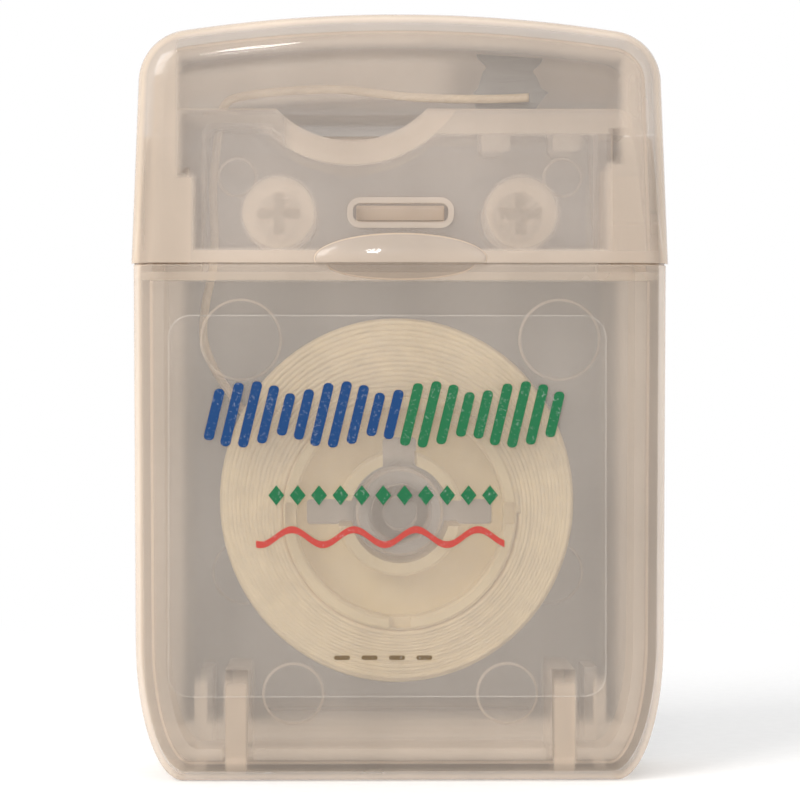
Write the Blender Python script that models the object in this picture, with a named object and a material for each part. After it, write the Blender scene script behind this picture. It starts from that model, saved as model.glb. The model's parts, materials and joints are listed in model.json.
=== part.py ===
"""Pocket dental floss dispenser with a flip lid, modelled in metres.

The frame has +Z up, the front of the case towards -Y and +X to the right seen from the front.
The origin is at the middle of the base. The case is two half shells closed on a tongue, the lid
swings on a thin web at the back, and the wound floss turns on a post inside.
"""

import math

import bmesh
import bpy
import numpy as np

# Clearances and cutting overruns
SEAM_GAP = 0.0002
PARTING_GAP = 0.0004
SEAT_GAP = 0.00015
FIT_GAP = 0.0003
RUNNING_GAP = 0.0004
OVERRUN = 0.002
FUSE = 0.0004

# Wound floss, which the case is built round. The pack has slumped off the bobbin's axis.
PACK_HALF_WIDTH = 0.0040
PACK_RADIUS = 0.01195
PACK_OFFSET = 0.0009
TURN_RADIUS = 0.00030
TURN_PITCH = 0.00105
TURN_COUNT = 7
TURN_LIFT = 0.00015
POINTS_PER_TURN = 24
WINDING_RADIUS = PACK_RADIUS + TURN_LIFT + 2 * TURN_RADIUS
SWEEP_RADIUS = WINDING_RADIUS + PACK_OFFSET
STRAND_RADIUS = 0.00035

# Post that carries the bobbin, and the spigot that closes it
SWEEP_FOOT_Z = 0.00505
POST_Z = SWEEP_FOOT_Z + SWEEP_RADIUS
PACK_Z = POST_Z + PACK_OFFSET
POST_RADIUS = 0.0031
POST_WALL = 0.0008
POST_BORE_RADIUS = POST_RADIUS - POST_WALL
SPIGOT_WALL = 0.0008
SPIGOT_ENTRY = 0.0022

# Bobbin
BOBBIN_PROUD = 0.0007
BOBBIN_WIDTH = 2 * (PACK_HALF_WIDTH + BOBBIN_PROUD)
BOBBIN_RADIUS = 0.0082
BOBBIN_RIM = 0.0009
BOBBIN_HUB_WALL = 0.0009
BOBBIN_BORE_RADIUS = POST_RADIUS + RUNNING_GAP
BOBBIN_WEB = 0.0014
BOBBIN_WEB_Y = -0.0012
KEYWAY_RIM_GAP = 0.0007
KEYWAY_HEIGHT = 0.0018
TOP_KEYWAY_RIM_GAP = 0.0020
TOP_KEYWAY_WIDTH = 0.0024
RIM_NOTCH_WIDTH = 0.0015
RIM_NOTCH_DEPTH = 0.0006

# Case below the lid, outside
SWEEP_SIDE_SPACE = 0.00395
BOBBIN_SIDE_GAP = 0.00105
CASE_WALL = 0.0011
CASE_HALF_WIDTH = SWEEP_RADIUS + SWEEP_SIDE_SPACE + CASE_WALL
CASE_SIDE_DRAFT = 0.00015
CASE_BASE_HALF_WIDTH = CASE_HALF_WIDTH - CASE_SIDE_DRAFT
CASE_DEPTH = BOBBIN_WIDTH + 2 * (BOBBIN_SIDE_GAP + CASE_WALL)
CASE_CORNER_WIDTH = 0.0033
CASE_CORNER_HEIGHT = 0.0098
CASE_EDGE_RADIUS = 0.0021

# Parting line between lid and case: low across the front, rising along the sides to the hinge
SWEEP_TOP_SPACE = 0.00375
PARTING_RISE = 0.0101
PARTING_FRONT_Z = POST_Z + SWEEP_RADIUS + SWEEP_TOP_SPACE
PARTING_BACK_Z = PARTING_FRONT_Z + PARTING_RISE
PARTING_FRONT_RUN = 0.00225
PARTING_BACK_RUN = 0.00065
PARTING_RISE_START_Y = -CASE_DEPTH / 2 + PARTING_FRONT_RUN
PARTING_RISE_END_Y = CASE_DEPTH / 2 - PARTING_BACK_RUN

# Lid, outside
LID_WALL = 0.0011
LID_SIDE_STEP = 0.00023
LID_FACE_STEP = 0.00015
LID_SIDE_DRAFT = 0.00058
LID_HALF_WIDTH = CASE_HALF_WIDTH + LID_SIDE_STEP
LID_TOP_HALF_WIDTH = LID_HALF_WIDTH - LID_SIDE_DRAFT
LID_DEPTH = CASE_DEPTH + 2 * LID_FACE_STEP
LID_CROWN_RISE = 0.00115
LID_CORNER_RADIUS = 0.0037
LID_EDGE_RADIUS = 0.0022

# Neck that the lid closes over, with a deck that oversails its sides
NECK_FRONT_GAP = 0.0004
NECK_BACK_GAP = 0.0013
NECK_FRONT_Y = -LID_DEPTH / 2 + LID_WALL + NECK_FRONT_GAP
NECK_BACK_Y = LID_DEPTH / 2 - LID_WALL - NECK_BACK_GAP
NECK_RISE = 0.0009
NECK_TOP_Z = PARTING_BACK_Z + NECK_RISE
NECK_EDGE_RADIUS = 0.0005
NECK_CORNER_RADIUS = 0.0008
NECK_WALL = 0.0010
NECK_ROOT = 0.0050
NECK_FOOT_Z = PARTING_FRONT_Z - NECK_ROOT
DECK_SIDE_GAP = 0.0010
DECK_HALF_WIDTH = LID_TOP_HALF_WIDTH - LID_WALL - DECK_SIDE_GAP
DECK_LEDGE = 0.0013
NECK_HALF_WIDTH = DECK_HALF_WIDTH - DECK_LEDGE
DECK_CORNER_RADIUS = 0.0011
DECK_DROP_LEFT = 0.0042
DECK_DROP_RIGHT = 0.0014

# Outlet for the floss
OUTLET_WALL_GAP = 0.0010
OUTLET_X = -(NECK_HALF_WIDTH - NECK_WALL - OUTLET_WALL_GAP)
OUTLET_Y = 0.0022
OUTLET_RADIUS = 0.0008
OUTLET_COLLAR_WALL = 0.0005
OUTLET_COLLAR_HEIGHT = 0.0004

# Finger scoop across the deck
SCOOP_OUTLET_SPACE = 0.0095
SCOOP_X = OUTLET_X + SCOOP_OUTLET_SPACE
SCOOP_DEPTH = 0.0023
SCOOP_RADIUS = 0.0073
SCOOP_WALL = 0.0010

# Cutter, a folded strip of sheet steel on the deck
CUTTER_THICKNESS = 0.00035
CUTTER_LEFT_X = 0.0053
CUTTER_LENGTH = 0.0073
CUTTER_FRONT_Y = 0.0010
CUTTER_DEPTH = 0.0028
CUTTER_TAB_HEIGHT = 0.0046
CUTTER_TAB_INSET = 0.0003
CUTTER_TAB_WIDTH = 0.0048
CUTTER_WAIST_INSET = 0.0007
CUTTER_WAIST_RISE = 0.0033
CUTTER_WAIST_HEIGHT = 0.0008
CUTTER_PRONG_REACH = 0.0004
CUTTER_LEG_WIDTH = 0.0012
CUTTER_LEG_LENGTH = 0.0017
LEG_LEFT_INSET = 0.0014
LEG_RIGHT_INSET = 0.0009
LEG_BOSS_HALF_WIDTH = 0.0010
LEG_BOSS_TAPER = 0.0003
LEG_BOSS_HEIGHT = 0.0009
LEG_BOSS_DEPTH = 0.0015
LEG_SLOT_GAP = 0.00015

# Top of the lid, which clears the cutter
LID_HEADROOM = 0.0009
LID_TOP_Z = NECK_TOP_Z + CUTTER_TAB_HEIGHT + LID_HEADROOM + LID_WALL

# Seam between the two half shells, and the tongue that locates them
SEAM_Y = -0.0005
TONGUE_LENGTH = 0.0034
TONGUE_THICKNESS = 0.0008
TONGUE_ROOT_LENGTH = 0.0016
TONGUE_DROP = 0.0028
TONGUE_TOP_Z = PARTING_FRONT_Z - TONGUE_DROP

# Pegs of the front shell and the sockets of the rear shell
PEG_SIDE_SPACE = 0.0054
PEG_X = NECK_HALF_WIDTH - NECK_WALL - PEG_SIDE_SPACE
PEG_RISE = 0.0037
PEG_Z = PARTING_FRONT_Z + PEG_RISE
PEG_RADIUS = 0.0015
PEG_ARM_THICKNESS = 0.0008
PEG_ENTRY = 0.0025
SOCKET_BORE_RADIUS = PEG_RADIUS + FIT_GAP
SOCKET_WALL = 0.0008
SOCKET_SEAM_GAP = 0.0010

# Bars of the front shell, and the guide ribs and foot rib of the rear shell
BAR_SIDE_SPACE = 0.0071
BAR_X = CASE_BASE_HALF_WIDTH - BAR_SIDE_SPACE
BAR_WIDTH = 0.0016
BAR_FLOOR_GAP = 0.0005
BAR_HEIGHT = 0.0062
BAR_BOTTOM_Z = CASE_WALL + BAR_FLOOR_GAP
BAR_TOP_Z = BAR_BOTTOM_Z + BAR_HEIGHT
BAR_END_GAP = 0.00235
RIB_BAR_GAP = 0.0012
RIB_THICKNESS = 0.0009
RIB_STEP = 0.0005
RIB_REACH = 0.00475
FOOT_RIB_BAR_GAP = 0.0010
FOOT_RIB_HALF_WIDTH = BAR_X - BAR_WIDTH / 2 - FOOT_RIB_BAR_GAP
FOOT_RIB_RISE = 0.0019
FOOT_RIB_THICKNESS = 0.0009
FOOT_RIB_REACH = 0.0022

# End of the post, short of the front wall
POST_END_GAP = 0.00275

# Ejector marks, shallow round recesses on the inner faces
MARK_DEPTH = 0.00018
UPPER_MARK_SIDE_SPACE = 0.00755
UPPER_MARK_X = CASE_HALF_WIDTH - UPPER_MARK_SIDE_SPACE
UPPER_MARK_DROP = 0.0052
UPPER_MARK_RADIUS = 0.00287
LOWER_MARK_SIDE_SPACE = 0.01105
LOWER_MARK_X = CASE_BASE_HALF_WIDTH - LOWER_MARK_SIDE_SPACE
LOWER_MARK_Z = 0.00615
LOWER_MARK_RADIUS = 0.00217
NECK_MARK_SIDE_SPACE = 0.0025
NECK_MARK_X = NECK_HALF_WIDTH - NECK_WALL - NECK_MARK_SIDE_SPACE
NECK_MARK_DROP = 0.0048
NECK_MARK_RADIUS = 0.0014
BACK_MARK_SIDE_SPACE = 0.0072
BACK_MARK_X = CASE_BASE_HALF_WIDTH - BACK_MARK_SIDE_SPACE
BACK_MARK_Z = 0.0139
BACK_MARK_RADIUS = 0.0024

# Thumb lip of the lid and the shallow recess under it
LIP_HALF_WIDTH = 0.0060
LIP_PROUD = 0.00075
LIP_HEIGHT = 0.0018
RECESS_HALF_WIDTH = 0.0051
RECESS_DEPTH = 0.0007
RECESS_HEIGHT = 0.0011

# Window of the lid and the latch nub that shows in it
WINDOW_HALF_WIDTH = 0.0035
WINDOW_HEIGHT = 0.00155
WINDOW_RISE = 0.0036
WINDOW_Z = PARTING_FRONT_Z + WINDOW_RISE
WINDOW_CORNER_RADIUS = 0.0005
WINDOW_RIM = 0.0004
WINDOW_RIM_PROUD = 0.00012
NUB_SIDE_GAP = 0.0005
NUB_REACH = 0.0005
NUB_TIP_THICKNESS = 0.0002
NUB_RAMP_SLOPE = 1.9

# Hinge at the back, in the gap of the parting line
HINGE_Z = PARTING_BACK_Z + PARTING_GAP
HINGE_OFFSET = 0.0004
HINGE_RADIUS = 0.00035
HINGE_HALF_WIDTH = 0.0100

# Route of the floss from the winding to the cutter, chosen by hand
STRAND_ROUTE = (
    (-0.0088, 0.00485, 0.0212),
    (-0.0098, 0.00485, 0.0232),
    (-0.0110, 0.00480, 0.0252),
    (-0.0123, 0.00460, 0.0271),
    (-0.0135, 0.00415, 0.0290),
    (-0.0142, 0.00340, 0.0312),
    (-0.0140, 0.00270, 0.0336),
    (-0.01345, 0.00230, 0.0362),
    (-0.01335, 0.0022, 0.0390),
    (-0.01345, 0.0022, 0.0420),
    (-0.01320, 0.0022, 0.0447),
    (-0.01290, 0.0022, 0.0470),
    (-0.01240, 0.0022, 0.0482),
    (-0.01080, 0.0022, 0.0487),
    (-0.00800, 0.0021, 0.0490),
    (-0.00440, 0.0019, 0.0491),
    (-0.00180, 0.0016, 0.0488),
    (0.00040, 0.0011, 0.0485),
    (0.00250, 0.0004, 0.0483),
    (0.00430, -0.0001, 0.0482),
    (0.00700, -0.0002, 0.0482),
    (0.00930, -0.0002, 0.0483),
)
STRAND_POINTS = 46

# Clear film label on the front
LABEL_LEFT_MARGIN = 0.00255
LABEL_RIGHT_MARGIN = 0.00435
LABEL_BOTTOM_Z = 0.0060
LABEL_TOP_DROP = 0.0035
LABEL_CORNER_RADIUS = 0.0016
LABEL_THICKNESS = 0.0001
LABEL_GAP = 0.00005

# Facets
CORNER_STEPS = 6
EDGE_STEPS = 4
CROWN_STEPS = 10
PARTING_STEPS = 14
ROUND_SIDES = 32
SMALL_SIDES = 20

# Colours, roughness, metallic
POLYPROPYLENE = ((0.62, 0.56, 0.49), 0.32, 0.0)
BOBBIN_PLASTIC = ((0.72, 0.66, 0.52), 0.45, 0.0)
WAXED_FLOSS = ((0.74, 0.68, 0.54), 0.55, 0.0)
STEEL = ((0.42, 0.40, 0.38), 0.35, 1.0)
FILM = ((0.85, 0.83, 0.80), 0.12, 0.0)


def clear_scene():
    for obj in list(bpy.data.objects):
        bpy.data.objects.remove(obj, do_unlink=True)


def new_collection(name):
    collection = bpy.data.collections.new(name)
    bpy.context.scene.collection.children.link(collection)
    return collection


def new_material(name, finish):
    colour, roughness, metallic = finish
    material = bpy.data.materials.new(name)
    material.use_nodes = True
    shader = material.node_tree.nodes["Principled BSDF"]
    shader.inputs["Base Color"].default_value = (*colour, 1.0)
    shader.inputs["Roughness"].default_value = roughness
    shader.inputs["Metallic"].default_value = metallic
    return material


def add_object(name, bm, collection):
    """An object made from a bmesh, whose faces are turned to point outwards."""
    bmesh.ops.recalc_face_normals(bm, faces=bm.faces[:])
    mesh = bpy.data.meshes.new(name)
    bm.to_mesh(mesh)
    bm.free()
    obj = bpy.data.objects.new(name, mesh)
    collection.objects.link(obj)
    return obj


def add_part(name, bm, finish):
    obj = add_object(name, bm, PARTS)
    obj.data.materials.append(new_material(name, finish))
    return obj


def add_tool(name, bm):
    """A shape that cuts or joins a part and isn't one itself."""
    obj = add_object(name, bm, TOOLS)
    obj.hide_render = True
    obj.display_type = "WIRE"
    return obj


def combine(target, tool, operation):
    modifier = target.modifiers.new(f"{operation.lower()} {tool.name}", "BOOLEAN")
    modifier.object = tool
    modifier.operation = operation
    modifier.solver = "EXACT"


def cut(target, *tools):
    for tool in tools:
        combine(target, tool, "DIFFERENCE")


def join(target, *tools):
    for tool in tools:
        combine(target, tool, "UNION")


def smooth(obj, angle=math.radians(35)):
    obj.data.shade_smooth()
    obj.data.set_sharp_from_angle(angle=angle)


def place(point, axis, level):
    """A flat point (u, v) set at a level along an axis: XZ outlines along Y, YZ along X, XY along Z."""
    u, v = point
    return {"X": (level, u, v), "Y": (u, level, v), "Z": (u, v, level)}[axis]


def add_prism(bm, outline, axis, low, high):
    """Extrudes a flat outline from one level to another along an axis."""
    base = bm.faces.new([bm.verts.new(place(point, axis, low)) for point in outline])
    grown = bmesh.ops.extrude_face_region(bm, geom=[base])
    raised = [item for item in grown["geom"] if isinstance(item, bmesh.types.BMVert)]
    bmesh.ops.translate(bm, verts=raised, vec=place((0, 0), axis, high - low))


def prism(outline, axis, low, high):
    bm = bmesh.new()
    add_prism(bm, outline, axis, low, high)
    return bm


def add_box(bm, low, high):
    """A box between two corners, from Blender's unit cube."""
    size = np.subtract(high, low)
    middle = np.add(low, high) / 2
    made = bmesh.ops.create_cube(bm, size=1)
    bmesh.ops.scale(bm, vec=size, verts=made["verts"])
    bmesh.ops.translate(bm, vec=middle, verts=made["verts"])


def box(low, high):
    bm = bmesh.new()
    add_box(bm, low, high)
    return bm


def circle(centre, radius, sides):
    """Points round a circle, which starts half a step off the axis."""
    step = math.tau / sides
    return [
        (
            centre[0] + radius * math.cos((k + 0.5) * step),
            centre[1] + radius * math.sin((k + 0.5) * step),
        )
        for k in range(sides)
    ]


def add_rod(bm, centre, radius, axis, low, high, sides=ROUND_SIDES):
    add_prism(bm, circle(centre, radius, sides), axis, low, high)


def rod(centre, radius, axis, low, high, sides=ROUND_SIDES):
    bm = bmesh.new()
    add_rod(bm, centre, radius, axis, low, high, sides)
    return bm


def add_tube(bm, centre, radius, bore, axis, low, high, sides=ROUND_SIDES):
    """A tube with both ends open: its wall's section swept round the axis."""
    rings = []
    for ring_radius, level in ((radius, low), (radius, high), (bore, high), (bore, low)):
        points = circle(centre, ring_radius, sides)
        rings.append([bm.verts.new(place(point, axis, level)) for point in points])
    for near, far in zip(rings, rings[1:] + rings[:1]):
        for k in range(sides):
            following = (k + 1) % sides
            bm.faces.new((near[k], near[following], far[following], far[k]))


def ellipsoid(centre, reach):
    bm = bmesh.new()
    bmesh.ops.create_uvsphere(bm, u_segments=ROUND_SIDES, v_segments=SMALL_SIDES, radius=1)
    bmesh.ops.scale(bm, vec=reach, verts=bm.verts[:])
    bmesh.ops.translate(bm, vec=centre, verts=bm.verts[:])
    return bm


def rounded(corners, radius, steps=CORNER_STEPS):
    """A closed outline with each corner drawn as an arc of one radius."""
    outline = []
    count = len(corners)
    for k, corner in enumerate(corners):
        here = np.array(corner, float)
        back = np.array(corners[k - 1], float) - here
        ahead = np.array(corners[(k + 1) % count], float) - here
        back /= np.linalg.norm(back)
        ahead /= np.linalg.norm(ahead)
        half = math.acos(float(np.clip(back @ ahead, -1, 1))) / 2
        inward = (back + ahead) / np.linalg.norm(back + ahead)
        centre = here + inward * radius / math.sin(half)
        start = here + back * radius / math.tan(half) - centre
        end = here + ahead * radius / math.tan(half) - centre
        for t in np.linspace(0, 1, steps + 1):
            angle = math.pi - 2 * half
            weight = (math.sin((1 - t) * angle), math.sin(t * angle))
            spoke = (weight[0] * start + weight[1] * end) / math.sin(angle)
            outline.append(tuple(centre + spoke))
    return outline


def rectangle(left, bottom, right, top):
    return [(left, bottom), (right, bottom), (right, top), (left, top)]


def mirrored(right_side):
    """A closed outline from its right half, listed from bottom to top."""
    return right_side + [(-x, z) for x, z in reversed(right_side)]


def case_outline(inset):
    """Front view of the case: soft lower corners and sides that widen a little upwards."""
    corner_width = CASE_CORNER_WIDTH - inset / 2
    corner_height = CASE_CORNER_HEIGHT - inset
    base = CASE_BASE_HALF_WIDTH - inset
    side = []
    for t in np.linspace(0, math.pi / 2, CORNER_STEPS + 2):
        x = base - corner_width + corner_width * math.sin(t)
        z = inset + corner_height - corner_height * math.cos(t)
        side.append((x, z))
    side.append((CASE_HALF_WIDTH - inset, PARTING_FRONT_Z))
    side.append((CASE_HALF_WIDTH - inset, PARTING_BACK_Z + OVERRUN))
    return mirrored(side)


def lid_outline(inset):
    """Front view of the lid: sides that close in a little upwards, round corners, a low crown."""
    radius = LID_CORNER_RADIUS - inset
    half = LID_TOP_HALF_WIDTH - inset
    slope = math.atan(2 * LID_CROWN_RISE / (half - radius))
    reach = half - radius + radius * math.sin(slope)
    corner_top = LID_TOP_Z - inset - LID_CROWN_RISE
    centre = (half - radius, corner_top - radius * math.cos(slope))
    side = [(LID_HALF_WIDTH - inset, PARTING_FRONT_Z - OVERRUN)]
    for t in np.linspace(0, math.pi / 2 - slope, CORNER_STEPS + 1):
        side.append((centre[0] + radius * math.cos(t), centre[1] + radius * math.sin(t)))
    for x in np.linspace(reach, 0, CROWN_STEPS // 2 + 1)[1:-1]:
        side.append((x, corner_top + LID_CROWN_RISE * (1 - (x / reach) ** 2)))
    return mirrored(side)


def neck_outline(inset):
    """Front view of the neck: the deck oversails its side walls, further down on the left."""
    wall = NECK_HALF_WIDTH - inset
    deck = DECK_HALF_WIDTH - inset
    top = NECK_TOP_Z - inset
    radius = DECK_CORNER_RADIUS - inset
    outline = [(-wall, NECK_FOOT_Z), (wall, NECK_FOOT_Z)]
    right_step = NECK_TOP_Z - DECK_DROP_RIGHT
    left_step = NECK_TOP_Z - DECK_DROP_LEFT
    outline += [(wall, right_step), (deck, right_step)]
    for t in np.linspace(0, math.pi / 2, CORNER_STEPS):
        x = deck - radius + radius * math.cos(t)
        outline.append((x, top - radius + radius * math.sin(t)))
    for t in np.linspace(math.pi / 2, math.pi, CORNER_STEPS):
        x = -deck + radius + radius * math.cos(t)
        outline.append((x, top - radius + radius * math.sin(t)))
    outline += [(-deck, left_step), (-wall, left_step)]
    return outline


def add_loft(bm, rings):
    """Skin over rings with equal point counts, with both ends closed."""
    loops = [[bm.verts.new(point) for point in ring] for ring in rings]
    for near, far in zip(loops, loops[1:]):
        for k in range(len(near)):
            following = (k + 1) % len(near)
            bm.faces.new((near[k], near[following], far[following], far[k]))
    bm.faces.new(loops[0])
    bm.faces.new(loops[-1])


def soft_edged(outline, front, back, radius, inset):
    """A body of one front view whose front and back edges are quarter rounds.

    The outline is a function of how far it is drawn in. Along the round of a given radius it is
    drawn in by radius * (1 - sin t) at the depth radius * (1 - cos t).
    """
    quarter = np.linspace(0, math.pi / 2, EDGE_STEPS + 1)
    stations = [(front + radius * (1 - math.cos(t)), radius * (1 - math.sin(t))) for t in quarter]
    stations += [(front + back - y, drawn_in) for y, drawn_in in reversed(stations)]
    bm = bmesh.new()
    rings = [[(x, y, z) for x, z in outline(inset + drawn_in)] for y, drawn_in in stations]
    add_loft(bm, rings)
    return bm


def parting_profile(offset):
    """Side view of the parting line, moved along its normal: level, then a smooth rise to the back."""
    half = LID_DEPTH / 2 + OVERRUN
    level = [(-half, PARTING_FRONT_Z)]
    rise = PARTING_BACK_Z - PARTING_FRONT_Z
    curve = []
    for t in np.linspace(0, 1, PARTING_STEPS + 1):
        y = PARTING_RISE_START_Y + t * (PARTING_RISE_END_Y - PARTING_RISE_START_Y)
        curve.append((y, PARTING_FRONT_Z + rise * t * t * (3 - 2 * t)))
    points = np.array(level + curve + [(half, PARTING_BACK_Z)])
    along = np.gradient(points, axis=0)
    along /= np.linalg.norm(along, axis=1, keepdims=True)
    normal = np.stack([-along[:, 1], along[:, 0]], axis=1)
    normal[0] = normal[-1] = (0, 1)
    return [tuple(point) for point in points + offset * normal]


def above_parting(name, offset):
    half = LID_DEPTH / 2 + OVERRUN
    top = LID_TOP_Z + OVERRUN
    outline = parting_profile(offset) + [(half, top), (-half, top)]
    width = LID_HALF_WIDTH + OVERRUN
    return add_tool(name, prism(outline, "X", -width, width))


def below_parting(name, offset):
    half = LID_DEPTH / 2 + OVERRUN
    outline = parting_profile(offset) + [(half, -OVERRUN), (-half, -OVERRUN)]
    width = LID_HALF_WIDTH + OVERRUN
    return add_tool(name, prism(outline, "X", -width, width))


def case_front():
    return -CASE_DEPTH / 2


def case_back():
    return CASE_DEPTH / 2


def inner_front():
    return case_front() + CASE_WALL


def inner_back():
    return case_back() - CASE_WALL


def post_end():
    return inner_front() + POST_END_GAP


def scoop_axis():
    return (SCOOP_X, NECK_TOP_Z - SCOOP_DEPTH + SCOOP_RADIUS)


def make_shell_tools():
    """The shapes that both half shells are made with."""
    tools = {}
    neck = soft_edged(neck_outline, NECK_FRONT_Y, NECK_BACK_Y, NECK_EDGE_RADIUS, 0)
    tools["neck"] = add_tool("neck form", neck)
    tools["top"] = above_parting("case top", 0)
    ends = (NECK_FRONT_Y - OVERRUN, (NECK_BACK_Y + inner_back()) / 2)
    tools["scoop"] = add_tool("scoop", rod(scoop_axis(), SCOOP_RADIUS, "Y", *ends, ROUND_SIDES * 2))

    radius = CASE_EDGE_RADIUS - CASE_WALL
    hollow = soft_edged(case_outline, inner_front(), inner_back(), radius, CASE_WALL)
    tools["hollow"] = add_tool("case hollow", hollow)
    cut(tools["hollow"], above_parting("hollow top", -CASE_WALL))

    half = NECK_HALF_WIDTH - NECK_WALL
    corners = rectangle(-half, NECK_FOOT_Z - OVERRUN, half, NECK_TOP_Z - NECK_WALL)
    outline = rounded(corners, NECK_CORNER_RADIUS)
    throat = prism(outline, "Y", NECK_FRONT_Y + NECK_WALL, NECK_BACK_Y - NECK_WALL)
    tools["throat"] = add_tool("neck hollow", throat)
    kept = rod(scoop_axis(), SCOOP_RADIUS + SCOOP_WALL, "Y", *ends, ROUND_SIDES * 2)
    cut(tools["throat"], add_tool("scoop wall", kept))
    return tools


def make_half_shell(name, tools):
    """The whole hollow case with its neck, ready to be cut at the seam."""
    outer = soft_edged(case_outline, case_front(), case_back(), CASE_EDGE_RADIUS, 0)
    shell = add_part(name, outer, POLYPROPYLENE)
    cut(shell, tools["top"])
    join(shell, tools["neck"])
    cut(shell, tools["scoop"], tools["hollow"], tools["throat"])
    return shell


def seam_cutter(name, low, high):
    width = LID_HALF_WIDTH + OVERRUN
    return add_tool(name, box((-width, low, -OVERRUN), (width, high, LID_TOP_Z + OVERRUN)))


def ledge(inner_inset, outer_inset, low, high):
    """A band along the inside of the side walls and the floor, up to the tongue's top."""
    band = prism(case_outline(outer_inset), "Y", low, high)
    obj = add_tool(f"band {outer_inset:.5f}", band)
    core = prism(case_outline(inner_inset), "Y", low - OVERRUN, high + OVERRUN)
    cut(obj, add_tool(f"band core {outer_inset:.5f}", core))
    width = LID_HALF_WIDTH + OVERRUN
    lowest = (-width, low - OVERRUN, TONGUE_TOP_Z)
    highest = (width, high + OVERRUN, LID_TOP_Z + OVERRUN)
    cut(obj, add_tool(f"band top {outer_inset:.5f}", box(lowest, highest)))
    return obj


def add_tongue(shell):
    """The rear shell's tongue, which runs inside the front shell's walls."""
    outer_inset = CASE_WALL + SEAT_GAP
    inner_inset = outer_inset + TONGUE_THICKNESS
    seam = SEAM_Y + SEAM_GAP / 2
    tongue = ledge(inner_inset, outer_inset, SEAM_Y - TONGUE_LENGTH, seam + TONGUE_ROOT_LENGTH)
    root = ledge(inner_inset, CASE_WALL - FUSE, seam, seam + TONGUE_ROOT_LENGTH)
    bm = bmesh.new()
    clear = BAR_WIDTH / 2 + FIT_GAP
    for middle in (-BAR_X, BAR_X):
        low = (middle - clear, SEAM_Y - TONGUE_LENGTH - OVERRUN, 0)
        high = (middle + clear, seam + TONGUE_ROOT_LENGTH + OVERRUN, BAR_TOP_Z)
        add_box(bm, low, high)
    notches = add_tool("tongue notches", bm)
    cut(root, notches)
    cut(tongue, notches)
    join(shell, root, tongue)


def marks(name, places, face, inward):
    """Round recesses in an inner face. The last number of each place is its radius."""
    bm = bmesh.new()
    for x, z, radius in places:
        ends = sorted((face + inward * MARK_DEPTH, face - inward * OVERRUN / 2))
        add_rod(bm, (x, z), radius, "Y", *ends)
    return add_tool(name, bm)


def pair(x, z, radius):
    return [(-x, z, radius), (x, z, radius)]


def deck_boss_outline(middle):
    top = NECK_TOP_Z - NECK_WALL + FUSE
    bottom = NECK_TOP_Z - NECK_WALL - LEG_BOSS_HEIGHT
    half = LEG_BOSS_HALF_WIDTH
    foot = half - LEG_BOSS_TAPER
    return [(middle - foot, bottom), (middle + foot, bottom), (middle + half, top), (middle - half, top)]


def leg_places():
    return (CUTTER_LEFT_X + LEG_LEFT_INSET, CUTTER_LEFT_X + CUTTER_LENGTH - LEG_RIGHT_INSET)


def add_cutter_seat(shell):
    """Two bosses under the deck, and the slots in them that take the cutter's legs."""
    leg_y = CUTTER_FRONT_Y + CUTTER_DEPTH / 2
    bosses = bmesh.new()
    slots = bmesh.new()
    half_depth = LEG_BOSS_DEPTH / 2
    for middle in leg_places():
        add_prism(bosses, deck_boss_outline(middle), "Y", leg_y - half_depth, leg_y + half_depth)
        half_slot = (
            CUTTER_LEG_WIDTH / 2 + LEG_SLOT_GAP,
            CUTTER_THICKNESS / 2 + LEG_SLOT_GAP,
        )
        low = (middle - half_slot[0], leg_y - half_slot[1], NECK_TOP_Z - NECK_WALL - OVERRUN)
        high = (middle + half_slot[0], leg_y + half_slot[1], NECK_TOP_Z + OVERRUN)
        add_box(slots, low, high)
    join(shell, add_tool("cutter bosses", bosses))
    cut(shell, add_tool("cutter slots", slots))


def add_outlet(shell):
    centre = (OUTLET_X, OUTLET_Y)
    collar_top = NECK_TOP_Z + OUTLET_COLLAR_HEIGHT
    radius = OUTLET_RADIUS + OUTLET_COLLAR_WALL
    low = NECK_TOP_Z - NECK_WALL / 2
    join(shell, add_tool("outlet collar", rod(centre, radius, "Z", low, collar_top, SMALL_SIDES)))
    ends = (NECK_TOP_Z - NECK_WALL - OVERRUN, collar_top + OVERRUN)
    cut(shell, add_tool("outlet bore", rod(centre, OUTLET_RADIUS, "Z", *ends, SMALL_SIDES)))


def add_rear_fittings(shell):
    """Post, sockets, guide ribs and foot rib, which all stand on the rear wall."""
    wall = inner_back() + FUSE
    bm = bmesh.new()
    add_tube(bm, (0, POST_Z), POST_RADIUS, POST_BORE_RADIUS, "Y", post_end(), wall)
    for side in (-1, 1):
        centre = (side * PEG_X, PEG_Z)
        radius = SOCKET_BORE_RADIUS + SOCKET_WALL
        add_tube(bm, centre, radius, SOCKET_BORE_RADIUS, "Y", SEAM_Y + SOCKET_SEAM_GAP, wall)
        near = side * (BAR_X + BAR_WIDTH / 2 + RIB_BAR_GAP)
        far = near + side * RIB_THICKNESS
        low = (min(near, far), inner_back() - RIB_REACH, CASE_WALL - FUSE)
        add_box(bm, low, (max(near, far), wall, BAR_TOP_Z - RIB_STEP))
    foot = CASE_WALL + FOOT_RIB_RISE
    low = (-FOOT_RIB_HALF_WIDTH, inner_back() - FOOT_RIB_REACH, foot)
    add_box(bm, low, (FOOT_RIB_HALF_WIDTH, wall, foot + FOOT_RIB_THICKNESS))
    join(shell, add_tool("rear fittings", bm))


def make_rear_shell(tools):
    shell = make_half_shell("rear_shell", tools)
    cut(shell, seam_cutter("front of seam", -CASE_DEPTH, SEAM_Y + SEAM_GAP / 2))
    cut(shell, marks("back marks", pair(BACK_MARK_X, BACK_MARK_Z, BACK_MARK_RADIUS), inner_back(), 1))
    add_tongue(shell)
    add_rear_fittings(shell)
    add_cutter_seat(shell)
    add_outlet(shell)
    smooth(shell)
    return shell


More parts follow.
